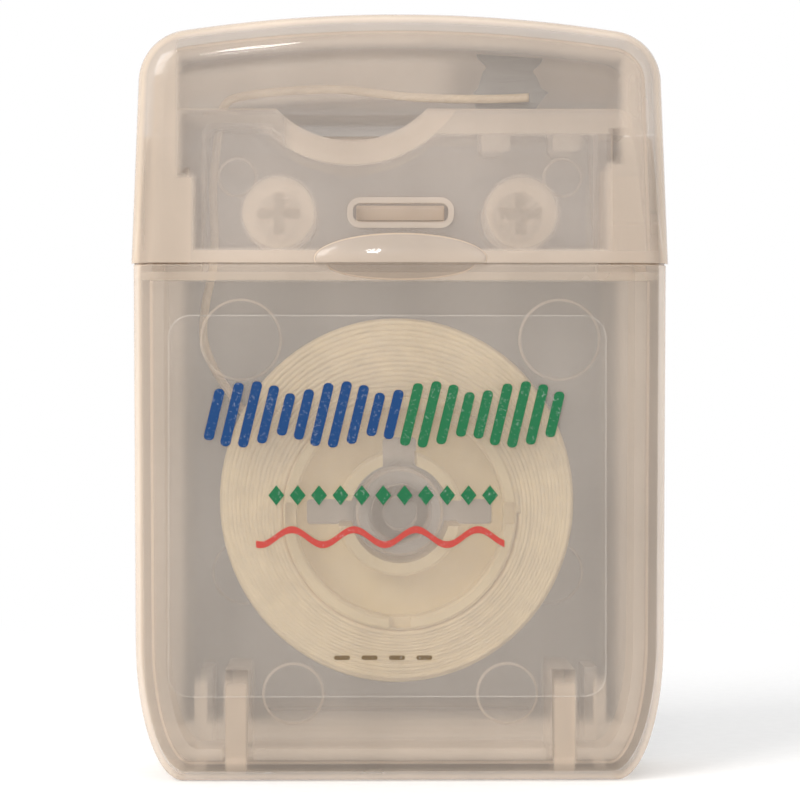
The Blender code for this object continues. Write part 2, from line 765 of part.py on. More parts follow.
def cross_outline(centre, reach, thickness):
    half = thickness / 2
    arm = [(reach, -half), (reach, half), (half, half)]
    outline = []
    for quarter in range(4):
        c, s = round(math.cos(quarter * math.pi / 2)), round(math.sin(quarter * math.pi / 2))
        outline += [(centre[0] + c * x - s * z, centre[1] + s * x + c * z) for x, z in arm]
    return outline


def nub_outline():
    """Side view of the latch nub. Its ramp is steeper than the path of the window's lower edge."""
    window_bottom = WINDOW_Z - WINDOW_HEIGHT / 2
    window_top = WINDOW_Z + WINDOW_HEIGHT / 2
    lid_inner = -LID_DEPTH / 2 + LID_WALL
    root = NECK_FRONT_Y + NECK_WALL / 2
    tip = lid_inner - NUB_REACH
    top = window_top - FIT_GAP
    ramp_foot = window_bottom + FIT_GAP
    tip_low = min(ramp_foot + NUB_RAMP_SLOPE * NUB_REACH, top - NUB_TIP_THICKNESS)
    return [(root, ramp_foot), (lid_inner, ramp_foot), (tip, tip_low), (tip, top), (root, top)]


def add_front_fittings(shell):
    """Spigot, pegs and bars, which all stand on the front wall, and the latch nub."""
    wall = inner_front() - FUSE
    neck_wall = NECK_FRONT_Y + NECK_WALL - FUSE
    bm = bmesh.new()
    radius = POST_BORE_RADIUS - FIT_GAP
    add_tube(bm, (0, POST_Z), radius, radius - SPIGOT_WALL, "Y", wall, post_end() + SPIGOT_ENTRY)
    for side in (-1, 1):
        cross = cross_outline((side * PEG_X, PEG_Z), PEG_RADIUS, PEG_ARM_THICKNESS)
        add_prism(bm, cross, "Y", neck_wall, SEAM_Y + SOCKET_SEAM_GAP + PEG_ENTRY)
        left = side * BAR_X - BAR_WIDTH / 2
        high = (left + BAR_WIDTH, inner_back() - BAR_END_GAP, BAR_TOP_Z)
        add_box(bm, (left, wall, BAR_BOTTOM_Z), high)
    join(shell, add_tool("front fittings", bm))
    half = WINDOW_HALF_WIDTH - NUB_SIDE_GAP
    join(shell, add_tool("latch nub", prism(nub_outline(), "X", -half, half)))


def make_front_cover(tools):
    shell = make_half_shell("front_cover", tools)
    cut(shell, seam_cutter("back of seam", SEAM_Y - SEAM_GAP / 2, CASE_DEPTH))
    places = pair(UPPER_MARK_X, PARTING_FRONT_Z - UPPER_MARK_DROP, UPPER_MARK_RADIUS)
    places += pair(LOWER_MARK_X, LOWER_MARK_Z, LOWER_MARK_RADIUS)
    cut(shell, marks("cover marks", places, inner_front(), -1))
    places = pair(NECK_MARK_X, NECK_TOP_Z - NECK_MARK_DROP, NECK_MARK_RADIUS)
    cut(shell, marks("neck marks", places, NECK_FRONT_Y + NECK_WALL, -1))
    recess = ellipsoid(
        (0, case_front(), PARTING_FRONT_Z),
        (RECESS_HALF_WIDTH, RECESS_DEPTH, RECESS_HEIGHT),
    )
    cut(shell, add_tool("finger recess", recess))
    add_front_fittings(shell)
    smooth(shell)
    return shell


def window_outline(grow):
    half = WINDOW_HALF_WIDTH + grow
    low = WINDOW_Z - WINDOW_HEIGHT / 2 - grow
    high = WINDOW_Z + WINDOW_HEIGHT / 2 + grow
    return rounded(rectangle(-half, low, half, high), WINDOW_CORNER_RADIUS + grow)


def make_lid():
    front, back = -LID_DEPTH / 2, LID_DEPTH / 2
    lid = add_part("lid", soft_edged(lid_outline, front, back, LID_EDGE_RADIUS, 0), POLYPROPYLENE)
    lip = ellipsoid((0, front, PARTING_FRONT_Z + PARTING_GAP), (LIP_HALF_WIDTH, LIP_PROUD, LIP_HEIGHT))
    join(lid, add_tool("thumb lip", lip))
    rim = prism(window_outline(WINDOW_RIM), "Y", front - WINDOW_RIM_PROUD, front + LID_WALL / 2)
    join(lid, add_tool("window rim", rim))
    radius = LID_EDGE_RADIUS - LID_WALL
    hollow = soft_edged(lid_hollow_outline, front + LID_WALL, back - LID_WALL, radius, LID_WALL)
    cut(lid, add_tool("lid hollow", hollow))
    cut(lid, below_parting("lid edge", PARTING_GAP))
    opening = prism(window_outline(0), "Y", front - OVERRUN, front + LID_WALL + FUSE)
    cut(lid, add_tool("window", opening))
    ends = (-LID_HALF_WIDTH - OVERRUN, LID_HALF_WIDTH + OVERRUN)
    low = (ends[0], back - LID_WALL - FUSE, -OVERRUN)
    high = (ends[1], back + OVERRUN, HINGE_Z + HINGE_OFFSET)
    cut(lid, add_tool("lid back edge", box(low, high)))
    smooth(lid)
    return lid


def lid_hollow_outline(inset):
    """The lid's outline with its foot lowered, so that the hollow runs out through the edge."""
    outline = lid_outline(inset)
    lowest = PARTING_FRONT_Z - OVERRUN
    return [(x, z - OVERRUN if z <= lowest else z) for x, z in outline]


def make_living_hinge():
    """The thick middle of the hinge web: a bead round the axis that the lid turns about."""
    centre = (LID_DEPTH / 2 + HINGE_OFFSET, HINGE_Z)
    bead = rod(centre, HINGE_RADIUS, "X", -HINGE_HALF_WIDTH, HINGE_HALF_WIDTH, SMALL_SIDES)
    hinge = add_part("living_hinge", bead, POLYPROPYLENE)
    smooth(hinge)
    return hinge


def cutter_tab_outline():
    """Front view of the cutter's upright tab, narrower at the waist, with a prong at its foot."""
    left = CUTTER_LEFT_X + CUTTER_TAB_INSET
    right = left + CUTTER_TAB_WIDTH
    top = NECK_TOP_Z + CUTTER_TAB_HEIGHT
    foot = NECK_TOP_Z + SEAT_GAP + CUTTER_THICKNESS / 2
    waist_low = NECK_TOP_Z + CUTTER_WAIST_RISE - CUTTER_WAIST_HEIGHT / 2
    waist_high = waist_low + CUTTER_WAIST_HEIGHT
    return [
        (left, foot),
        (right - CUTTER_WAIST_INSET, foot),
        (right + CUTTER_PRONG_REACH, foot + (waist_low - foot) / 2),
        (right - CUTTER_WAIST_INSET, waist_low),
        (right - CUTTER_WAIST_INSET, waist_high),
        (right, top - CUTTER_THICKNESS),
        (left, top),
        (left + CUTTER_WAIST_INSET, waist_high),
        (left + CUTTER_WAIST_INSET, waist_low),
        (left - CUTTER_PRONG_REACH / 2, foot + (waist_low - foot) / 2),
    ]


def make_cutter_blade():
    """Base strip on the deck, a tab folded up at its front edge, and two legs folded down."""
    bottom = NECK_TOP_Z + SEAT_GAP
    low = (CUTTER_LEFT_X, CUTTER_FRONT_Y, bottom)
    size = (CUTTER_LENGTH, CUTTER_DEPTH, CUTTER_THICKNESS)
    blade = add_part("cutter_blade", box(low, np.add(low, size)), STEEL)
    tab = prism(cutter_tab_outline(), "Y", CUTTER_FRONT_Y, CUTTER_FRONT_Y + CUTTER_THICKNESS)
    join(blade, add_tool("cutter tab", tab))
    legs = bmesh.new()
    for middle in leg_places():
        leg_y = CUTTER_FRONT_Y + CUTTER_DEPTH / 2
        half = (CUTTER_LEG_WIDTH / 2, CUTTER_THICKNESS / 2)
        low = (middle - half[0], leg_y - half[1], bottom - CUTTER_LEG_LENGTH)
        add_box(legs, low, (middle + half[0], leg_y + half[1], bottom + CUTTER_THICKNESS / 2))
    join(blade, add_tool("cutter legs", legs))
    return blade


def make_bobbin():
    """Rim, hub and web turned in one profile, then the keyways and notches cut through."""
    half = BOBBIN_WIDTH / 2
    hub = BOBBIN_BORE_RADIUS + BOBBIN_HUB_WALL
    rim = BOBBIN_RADIUS - BOBBIN_RIM
    web_front = BOBBIN_WEB_Y - BOBBIN_WEB / 2
    web_back = BOBBIN_WEB_Y + BOBBIN_WEB / 2
    section = [(BOBBIN_RADIUS, half), (BOBBIN_RADIUS, -half), (rim, -half), (rim, web_front)]
    section += [(hub, web_front), (hub, -half), (BOBBIN_BORE_RADIUS, -half)]
    section += [(BOBBIN_BORE_RADIUS, half), (hub, half), (hub, web_back), (rim, web_back), (rim, half)]
    bobbin = add_part("bobbin", turned(section), BOBBIN_PLASTIC)
    bm = bmesh.new()
    reach = rim - KEYWAY_RIM_GAP
    add_box(
        bm,
        (-reach, -half - OVERRUN, POST_Z - KEYWAY_HEIGHT / 2),
        (reach, half + OVERRUN, POST_Z + KEYWAY_HEIGHT / 2),
    )
    cut(bobbin, add_tool("side keyways", bm))
    high = POST_Z + rim - TOP_KEYWAY_RIM_GAP
    low = (-TOP_KEYWAY_WIDTH / 2, -half - OVERRUN, POST_Z)
    cut(bobbin, add_tool("top keyway", box(low, (TOP_KEYWAY_WIDTH / 2, half + OVERRUN, high))))
    notches = bmesh.new()
    for angle in (0, math.pi, -math.pi / 2):
        x, z = rim * math.cos(angle), POST_Z + rim * math.sin(angle)
        spread = RIM_NOTCH_WIDTH / 2
        low = (x - spread, -half - OVERRUN, z - spread)
        add_box(notches, low, (x + spread, -half + RIM_NOTCH_DEPTH, z + spread))
    cut(bobbin, add_tool("rim notches", notches))
    smooth(bobbin)
    return bobbin


def turned(section):
    """A closed section of radii and depths swept round the post's axis."""
    bm = bmesh.new()
    rings = []
    for radius, y in section:
        points = circle((0, POST_Z), radius, ROUND_SIDES)
        rings.append([bm.verts.new((x, y, z)) for x, z in points])
    for near, far in zip(rings, rings[1:] + rings[:1]):
        for k in range(ROUND_SIDES):
            following = (k + 1) % ROUND_SIDES
            bm.faces.new((near[k], near[following], far[following], far[k]))
    return bm


def make_floss_core():
    """The floss below the outer layer, a ring on the bobbin with its outside off the axis."""
    bore = BOBBIN_RADIUS + SEAT_GAP
    ends = (-PACK_HALF_WIDTH, PACK_HALF_WIDTH)
    core = add_part("floss_core", rod((0, PACK_Z), PACK_RADIUS, "Y", *ends, ROUND_SIDES * 2), WAXED_FLOSS)
    ends = (-PACK_HALF_WIDTH - OVERRUN, PACK_HALF_WIDTH + OVERRUN)
    cut(core, add_tool("pack bore", rod((0, POST_Z), bore, "Y", *ends, ROUND_SIDES * 2)))
    smooth(core)
    return core


def turn_points():
    """Centre line of the outer layer: one helix across the pack, with a straight lead at each end."""
    radius = PACK_RADIUS + TURN_LIFT + TURN_RADIUS
    count = TURN_COUNT * POINTS_PER_TURN
    angle = math.pi + math.tau * np.arange(count + 1) / POINTS_PER_TURN
    y = TURN_PITCH * (np.arange(count + 1) / POINTS_PER_TURN - TURN_COUNT / 2)
    points = np.stack([radius * np.cos(angle), y, PACK_Z + radius * np.sin(angle)], axis=1)
    lead = 2 * TURN_RADIUS
    first = points[0] - lead * unit(points[1] - points[0])
    last = points[-1] + lead * unit(points[-1] - points[-2])
    return np.vstack([first, points, last])


def unit(vector):
    return vector / np.linalg.norm(vector)


def least_gap(points, radius, skipped):
    """Least distance between stretches of a tube that lie more than some points apart along it."""
    apart = np.linalg.norm(points[:, None] - points[None], axis=2)
    index = np.arange(len(points))
    near = np.abs(index[:, None] - index[None]) <= skipped
    apart[near] = np.inf
    return float(apart.min()) - 2 * radius


def make_tube_curve(name, points, radius, resolution, finish):
    curve = bpy.data.curves.new(name, "CURVE")
    curve.dimensions = "3D"
    curve.bevel_depth = radius
    curve.bevel_resolution = resolution
    curve.use_fill_caps = True
    spline = curve.splines.new("POLY")
    spline.points.add(len(points) - 1)
    for point, target in zip(points, spline.points):
        target.co = (*point, 1)
    obj = bpy.data.objects.new(name, curve)
    PARTS.objects.link(obj)
    curve.materials.append(new_material(name, finish))
    return obj


def make_floss_outer_turns():
    points = turn_points()
    gap = least_gap(points, TURN_RADIUS, POINTS_PER_TURN // 2)
    print(f"floss_outer_turns: least gap between turns {gap * 1000:.2f} mm")
    return make_tube_curve("floss_outer_turns", points, TURN_RADIUS, 1, WAXED_FLOSS)


def smooth_route(route, count):
    """Evenly spaced points on one smooth curve through a route's own points (Catmull-Rom)."""
    route = np.array(route)
    padded = np.vstack([2 * route[0] - route[1], route, 2 * route[-1] - route[-2]])
    fine = []
    for p0, p1, p2, p3 in zip(padded, padded[1:], padded[2:], padded[3:]):
        for t in np.linspace(0, 1, 20, endpoint=False):
            swing = (2 * p0 - 5 * p1 + 4 * p2 - p3) * t * t + (3 * p1 - p0 - 3 * p2 + p3) * t**3
            fine.append((2 * p1 + (p2 - p0) * t + swing) / 2)
    fine = np.array(fine + [route[-1]])
    length = np.concatenate([[0], np.cumsum(np.linalg.norm(np.diff(fine, axis=0), axis=1))])
    even = np.linspace(0, length[-1], count)
    return np.stack([np.interp(even, length, fine[:, k]) for k in range(3)], axis=1)


def make_floss_strand():
    points = smooth_route(STRAND_ROUTE, STRAND_POINTS)
    length = np.linalg.norm(np.diff(points, axis=0), axis=1).sum()
    print(f"floss_strand: {length * 1000:.1f} mm from the winding to the cutter")
    return make_tube_curve("floss_strand", points, STRAND_RADIUS, 2, WAXED_FLOSS)


def make_front_label():
    left = LABEL_LEFT_MARGIN - CASE_HALF_WIDTH
    right = CASE_HALF_WIDTH - LABEL_RIGHT_MARGIN
    top = PARTING_FRONT_Z - LABEL_TOP_DROP
    outline = rounded(rectangle(left, LABEL_BOTTOM_Z, right, top), LABEL_CORNER_RADIUS)
    back = case_front() - LABEL_GAP
    return add_part("front_label", prism(outline, "Y", back - LABEL_THICKNESS, back), FILM)


def main():
    tools = make_shell_tools()
    make_rear_shell(tools)
    make_front_cover(tools)
    make_lid()
    make_living_hinge()
    make_cutter_blade()
    make_bobbin()
    make_floss_core()
    make_floss_outer_turns()
    make_floss_strand()
    make_front_label()


clear_scene()
PARTS = new_collection("floss dispenser")
TOOLS = new_collection("cutters")
TOOLS.hide_render = True
main()
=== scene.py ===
"""Looks of a pocket floss dispenser: a translucent two-half case with a flip lid, a wound
bobbin on its post, the floss that runs up to the cutter, and a clear printed film in front.

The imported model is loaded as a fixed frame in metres. +Z is up, the front is towards -Y and +X is
to the right seen from the front. Each sub-assembly below builds its own pieces from closed
surfaces worked out as whole arrays, and dresses them in materials made of nodes.
"""

from __future__ import annotations

import json
import logging
import math
import sys
from collections.abc import Callable, Iterable, Sequence
from dataclasses import dataclass
from enum import Enum
from functools import reduce

import bmesh
import bpy
import numpy as np
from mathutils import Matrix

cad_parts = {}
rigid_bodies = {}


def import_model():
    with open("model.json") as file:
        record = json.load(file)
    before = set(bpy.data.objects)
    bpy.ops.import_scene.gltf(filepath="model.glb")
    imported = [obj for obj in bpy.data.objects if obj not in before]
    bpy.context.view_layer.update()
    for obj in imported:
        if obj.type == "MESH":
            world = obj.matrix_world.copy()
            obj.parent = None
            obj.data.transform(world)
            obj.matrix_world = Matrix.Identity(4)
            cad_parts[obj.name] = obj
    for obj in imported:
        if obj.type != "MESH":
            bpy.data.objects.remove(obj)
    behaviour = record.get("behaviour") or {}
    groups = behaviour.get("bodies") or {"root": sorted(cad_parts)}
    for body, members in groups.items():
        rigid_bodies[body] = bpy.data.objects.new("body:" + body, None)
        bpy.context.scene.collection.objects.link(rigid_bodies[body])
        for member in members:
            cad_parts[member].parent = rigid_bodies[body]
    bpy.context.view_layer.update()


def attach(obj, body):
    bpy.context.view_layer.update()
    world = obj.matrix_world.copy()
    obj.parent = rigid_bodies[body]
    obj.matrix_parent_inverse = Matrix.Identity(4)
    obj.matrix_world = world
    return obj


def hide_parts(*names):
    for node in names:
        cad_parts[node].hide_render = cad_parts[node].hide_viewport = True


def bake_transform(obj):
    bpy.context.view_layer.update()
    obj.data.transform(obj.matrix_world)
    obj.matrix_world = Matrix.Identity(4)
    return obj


LOG = logging.getLogger("floss_dispenser")
Pair = tuple[float, float]
Triple = tuple[float, float, float]
Colour = Triple
Row = tuple[float, float, int]
Outline = np.ndarray
Piece, Tree, Socket = bpy.types.Object, bpy.types.NodeTree, bpy.types.NodeSocket

# How far a tool runs past what it cuts, how far joined solids overlap, and half a soft change,
# then the levels that most of a noise lies between.
OVERRUN, FUSE, SOFT = 0.002, 0.0004, 0.0001
NOISE_LOW, NOISE_HIGH = 0.3, 0.7
CORNER_STEPS, EDGE_STEPS, CROWN_STEPS, PARTING_STEPS = 20, 10, 28, 44
ROUND_SIDES, SMALL_SIDES, ROUTE_STEPS = 72, 40, 24
SIDES = (-1, 1)
WHITE, BLACK = (1.0, 1.0, 1.0), (0.0, 0.0, 0.0)


class Axis(Enum):
    """The axis that a flat outline is set along. The value gives the columns of u, v and level."""

    X = (1, 2, 0)
    Y = (0, 2, 1)
    Z = (0, 1, 2)


class Operation(Enum):
    """How a tool changes the piece that it is applied to."""

    CUT = "DIFFERENCE"
    JOIN = "UNION"


@dataclass(frozen=True)
class Datum:
    """Places that several sub-assemblies share."""

    post_z: float = 0.01865
    pack_z: float = 0.01955
    case_depth: float = 0.0137
    lid_depth: float = 0.0140
    wall: float = 0.0011
    parting_front_z: float = 0.0360
    parting_back_z: float = 0.0461
    rise_start_y: float = -0.0046
    rise_end_y: float = 0.0062
    seam_y: float = -0.0005
    seam_gap: float = 0.0002
    deck_z: float = 0.0470
    top_z: float = 0.0536
    widest: float = 0.0189
    leg_places: Pair = (0.0067, 0.0117)
    leg_y: float = 0.0024

    @property
    def inner_front(self) -> float:
        """Depth of the front wall's inner face."""
        return -self.case_depth / 2 + self.wall

    @property
    def inner_back(self) -> float:
        """Depth of the rear wall's inner face."""
        return self.case_depth / 2 - self.wall


DATUM = Datum()


# Surfaces worked out as whole arrays


def unit(vectors: np.ndarray) -> np.ndarray:
    """Vectors brought to length one."""
    return vectors / np.linalg.norm(vectors, axis=-1, keepdims=True)


def columns(*parts: np.ndarray) -> np.ndarray:
    """Points whose coordinates are given as one array each, one point a row."""
    return np.stack(parts, axis=1)


def spokes(angle: np.ndarray) -> np.ndarray:
    """Unit vectors (cos, sin) at angles, one a row."""
    return columns(np.cos(angle), np.sin(angle))


def normals(path: np.ndarray) -> np.ndarray:
    """Unit normals of a flat path, to the left of its way."""
    return unit(np.gradient(path, axis=0))[:, ::-1] * (-1, 1)


def run_along(path: np.ndarray) -> np.ndarray:
    """The length along a path at each of its points."""
    return np.concatenate([[0], np.cumsum(np.linalg.norm(np.diff(path, axis=0), axis=1))])


def at_level(outline: Outline, level: float, axis: Axis = Axis.Y) -> np.ndarray:
    """Sets a flat outline at a level along an axis.

    Args:
        outline: Points (u, v), one a row.
        level: Where the outline lies along the axis.
        axis: The axis that the outline is square to.

    Returns:
        Points (x, y, z), one a row.
    """
    points = np.empty((len(outline), 3))
    points[:, list(axis.value)] = np.column_stack([outline, np.full(len(outline), level)])
    return points


def linked(name: str, mesh: bpy.types.Mesh) -> Piece:
    """A new object in the scene that shows a mesh."""
    obj = bpy.data.objects.new(name, mesh)
    bpy.context.scene.collection.objects.link(obj)
    return obj


def skin(name: str, rings: np.ndarray, closed_along: bool = False) -> Piece:
    """A closed surface over rings of points: each ring is joined to the next by quads.

    Args:
        name: Name of the new object.
        rings: Array of rings, points and coordinates.
        closed_along: Whether the last ring joins the first. Otherwise both ends are capped.

    Returns:
        The object, with its faces turned outwards.
    """
    count, size = rings.shape[:2]
    index = np.arange(count * size).reshape(count, size)
    near = index if closed_along else index[:-1]
    far = np.roll(index, -1, axis=0) if closed_along else index[1:]
    quads = np.stack([near, np.roll(near, -1, 1), np.roll(far, -1, 1), far], axis=-1)
    faces = quads.reshape(-1, 4).tolist()
    if not closed_along:
        faces += [index[0][::-1].tolist(), index[-1].tolist()]
    mesh = bpy.data.meshes.new(name)
    mesh.from_pydata(rings.reshape(-1, 3).tolist(), [], faces)
    bm = bmesh.new()
    bm.from_mesh(mesh)
    bmesh.ops.recalc_face_normals(bm, faces=bm.faces[:])
    bm.to_mesh(mesh)
    bm.free()
    return linked(name, mesh)


def prism(name: str, outline: Outline, axis: Axis, low: float, high: float) -> Piece:
    """A flat outline carried straight from a low level to a high one along an axis, as a solid."""
    return skin(name, np.stack([at_level(outline, level, axis) for level in (low, high)]))


def circle(centre: Sequence[float], radius: float, sides: int) -> Outline:
    """Points round a circle: the centre plus the radius times (cos, sin) of equal angles."""
    return np.asarray(centre) + radius * spokes((np.arange(sides) + 0.5) * math.tau / sides)


def turned(
    name: str, centre: Sequence[float], section: Iterable[Sequence[float]], sides: int = ROUND_SIDES
) -> Piece:
    """A closed section of (radius, depth) points swept round an axis along Y at a centre (x, z)."""
    rings = [at_level(circle(centre, radius, sides), level) for radius, level in section]
    return skin(name, np.stack(rings), closed_along=True)


def rectangle(left: float, bottom: float, right: float, top: float) -> Outline:
    """Four corners, from the lower left round to the upper left."""
    return np.array([(left, bottom), (right, bottom), (right, top), (left, top)])


def block(name: str, low: Sequence[float], high: Sequence[float]) -> Piece:
    """A tool with six flat sides between two corners."""
    return prism(name, rectangle(low[0], low[2], high[0], high[2]), Axis.Y, low[1], high[1])


def rounded(corners: np.ndarray, radius: float, steps: int = CORNER_STEPS) -> Outline:
    """A closed outline whose corners are arcs of one radius.

    Each arc turns its first spoke into its last: at a share t of the corner's angle the spoke is
    the mean of the two, weighted by sin((1 - t) * angle) and sin(t * angle), over sin(angle).

    Args:
        corners: The sharp corners (u, v), one a row.
        radius: Radius of every arc.
        steps: Steps in each arc.

    Returns:
        Points (u, v), one a row.
    """
    back, ahead = (unit(np.roll(corners, way, axis=0) - corners) for way in (1, -1))
    half = np.arccos(np.clip((back * ahead).sum(1), -1, 1)) / 2
    centre = corners + unit(back + ahead) * (radius / np.sin(half))[:, None]
    reach = (radius / np.tan(half))[:, None]
    start, end = (corners + way * reach - centre for way in (back, ahead))
    share = np.linspace(0, 1, steps + 1)[None, :, None]
    angle = (math.pi - 2 * half)[:, None, None]
    spoke = np.sin((1 - share) * angle) * start[:, None] + np.sin(share * angle) * end[:, None]
    return (centre[:, None] + spoke / np.sin(angle)).reshape(-1, 2)


def mirrored(right_side: np.ndarray) -> Outline:
    """A closed outline from its right half, listed from bottom to top."""
    return np.vstack([right_side, right_side[::-1] * (-1, 1)])


def soft_edged(
    name: str, outline: Callable[[float], Outline], ends: Pair, radius: float, inset: float = 0
) -> Piece:
    """A body of one front view whose front and back edges are quarter rounds.

    At an angle t the outline lies at the depth radius * (1 - cos t) and is drawn in by
    radius * (1 - sin t), and the back edge mirrors the front one.

    Args:
        name: Name of the new object.
        outline: The front view as a function of how far it is drawn in.
        ends: Depths of the front and the back face.
        radius: Radius of the edges.
        inset: How far the whole body is drawn in.

    Returns:
        The closed body.
    """
    quarter = np.linspace(0, math.pi / 2, EDGE_STEPS + 1)
    depth = ends[0] + radius * (1 - np.cos(quarter))
    drawn = radius * (1 - np.sin(quarter))
    depth = np.concatenate([depth, (sum(ends) - depth)[::-1]])
    drawn = np.concatenate([drawn, drawn[::-1]])
    return skin(name, np.stack([at_level(outline(inset + d), y) for y, d in zip(depth, drawn)]))


def ellipsoid(name: str, centre: Sequence[float], reach: Sequence[float]) -> Piece:
    """A closed ellipsoid: the centre plus the reach times (cos a sin b, cos b, sin a sin b).

    Args:
        name: Name of the new object.
        centre: Its centre.
        reach: Its half sizes.

    Returns:
        The solid, capped with a tiny ring at each end of its depth.
    """
    tip = 0.01
    angle = np.arange(ROUND_SIDES) * math.tau / ROUND_SIDES
    tilt = np.linspace(tip, math.pi - tip, SMALL_SIDES)[:, None]
    parts = np.broadcast_arrays(np.cos(angle) * np.sin(tilt), np.cos(tilt), np.sin(angle) * np.sin(tilt))
    return skin(name, np.asarray(centre) + np.asarray(reach) * np.stack(parts, axis=-1))


def read(items: bpy.types.bpy_prop_collection, name: str) -> np.ndarray:
    """One whole number from each item of a mesh's list."""
    values = np.empty(len(items), np.int32)
    items.foreach_get(name, values)
    return values


def thread(
    name: str, path: np.ndarray, radius: float, towards: np.ndarray, sides: int, flat: float = 1.0
) -> Piece:
    """A tube along a path, with a UV map that runs along it (u, in radii) and round it (v).

    A point is the path plus the radius times (flat * cos a, sin a) in the path's two square
    directions, for equal angles a round the section.

    Args:
        name: Name of the new object.
        path: Points along the middle of the tube.
        radius: Its radius.
        towards: The direction that the section's first axis follows.
        sides: How many points round.
        flat: The first axis's share of the radius.

    Returns:
        The capped tube.
    """
    along = unit(np.gradient(path, axis=0))
    second = unit(np.cross(along, np.broadcast_to(towards, path.shape)))
    first = np.cross(second, along)
    shares = spokes(np.arange(sides) * math.tau / sides)[None] * (flat, 1)
    spoke = shares[..., :1] * first[:, None] + shares[..., 1:] * second[:, None]
    obj = skin(name, path[:, None] + radius * spoke)
    mesh = obj.data
    ring, place = np.divmod(read(mesh.loops, "vertex_index"), sides)
    turn = place / sides
    starts, sizes = read(mesh.polygons, "loop_start"), read(mesh.polygons, "loop_total")
    face = np.repeat(np.arange(len(starts)), sizes)
    most = np.maximum.reduceat(turn, starts)
    # In a quad over the seam, corners at the start count as one turn on (from eleven sides up).
    wraps = (most[face] > 0.9) & (turn < 0.1) & (sizes[face] == 4)
    uv = columns(run_along(path)[ring] / radius, turn + wraps)
    mesh.uv_layers.new(name="thread").data.foreach_set("uv", uv.ravel())
    mesh.shade_smooth()
    return obj


def smooth_route(route: np.ndarray, count: int) -> np.ndarray:
    """Evenly spaced points on one smooth curve through a route's own points (Catmull-Rom).

    Between two points p1 and p2 it is half of 2 p1 + (p2 - p0) t + (2 p0 - 5 p1 + 4 p2 - p3) t^2
    + (3 p1 - p0 - 3 p2 + p3) t^3.

    Args:
        route: The route's points.
        count: How many points to give.

    Returns:
        The points.
    """
    padded = np.vstack([2 * route[0] - route[1], route, 2 * route[-1] - route[-2]])
    p0, p1, p2, p3 = (padded[k : len(padded) - 3 + k, None] for k in range(4))
    t = np.linspace(0, 1, ROUTE_STEPS, endpoint=False)[None, :, None]
    swing = (2 * p0 - 5 * p1 + 4 * p2 - p3) * t**2 + (3 * p1 - p0 - 3 * p2 + p3) * t**3
    fine = ((2 * p1 + (p2 - p0) * t + swing) / 2).reshape(-1, 3)
    fine = np.vstack([fine, route[-1]])
    length = run_along(fine)
    even = np.linspace(0, length[-1], count)
    return np.stack([np.interp(even, length, fine[:, k]) for k in range(3)], axis=1)


# Cutting and finishing a piece


def work(piece: Piece, operation: Operation, *tools: Piece) -> None:
    """Cuts tools from a piece or joins them to it, then does away with the tools.

    Args:
        piece: What is changed.
        operation: Whether the tools cut or join.
        tools: The shapes, used in their order.
    """
    for tool in tools:
        step = piece.modifiers.new(tool.name, "BOOLEAN")
        step.object, step.operation, step.solver = tool, operation.value, "EXACT"
    settle(piece)
    for tool in tools:
        bpy.data.objects.remove(tool, do_unlink=True)


def cut(piece: Piece, *tools: Piece) -> None:
    """Cuts tools from a piece."""
    work(piece, Operation.CUT, *tools)


def join(piece: Piece, *tools: Piece) -> None:
    """Joins tools to a piece."""
    work(piece, Operation.JOIN, *tools)


def settle(piece: Piece) -> None:
    """Puts what the modifiers make of a piece into its mesh, and clears them.

    Args:
        piece: What is changed.
    """
    graph = bpy.context.evaluated_depsgraph_get()
    mesh = bpy.data.meshes.new_from_object(piece.evaluated_get(graph))
    piece.modifiers.clear()
    piece.data = mesh


def smooth(piece: Piece, degrees: float = 32) -> None:
    """Shades a piece smoothly except over edges sharper than an angle, weighted by face size.

    Args:
        piece: What is shaded.
        degrees: The least angle of an edge that stays sharp.
    """
    piece.data.shade_smooth()
    piece.data.set_sharp_from_angle(angle=math.radians(degrees))
    piece.modifiers.new("weighted normals", "WEIGHTED_NORMAL").keep_sharp = True
    settle(piece)


def hand_over(piece: Piece, body: str, slot: str, finish: bpy.types.Material | None, *nodes: str) -> None:
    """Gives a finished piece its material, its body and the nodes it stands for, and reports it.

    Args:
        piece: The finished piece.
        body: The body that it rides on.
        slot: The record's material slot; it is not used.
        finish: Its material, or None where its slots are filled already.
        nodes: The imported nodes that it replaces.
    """
    if finish is not None:
        piece.data.materials.clear()
        piece.data.materials.append(finish)
    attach(piece, body)
    if nodes:
        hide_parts(*nodes)
    LOG.info("%s: %d faces on %s", piece.name, len(piece.data.polygons), body)


# Materials


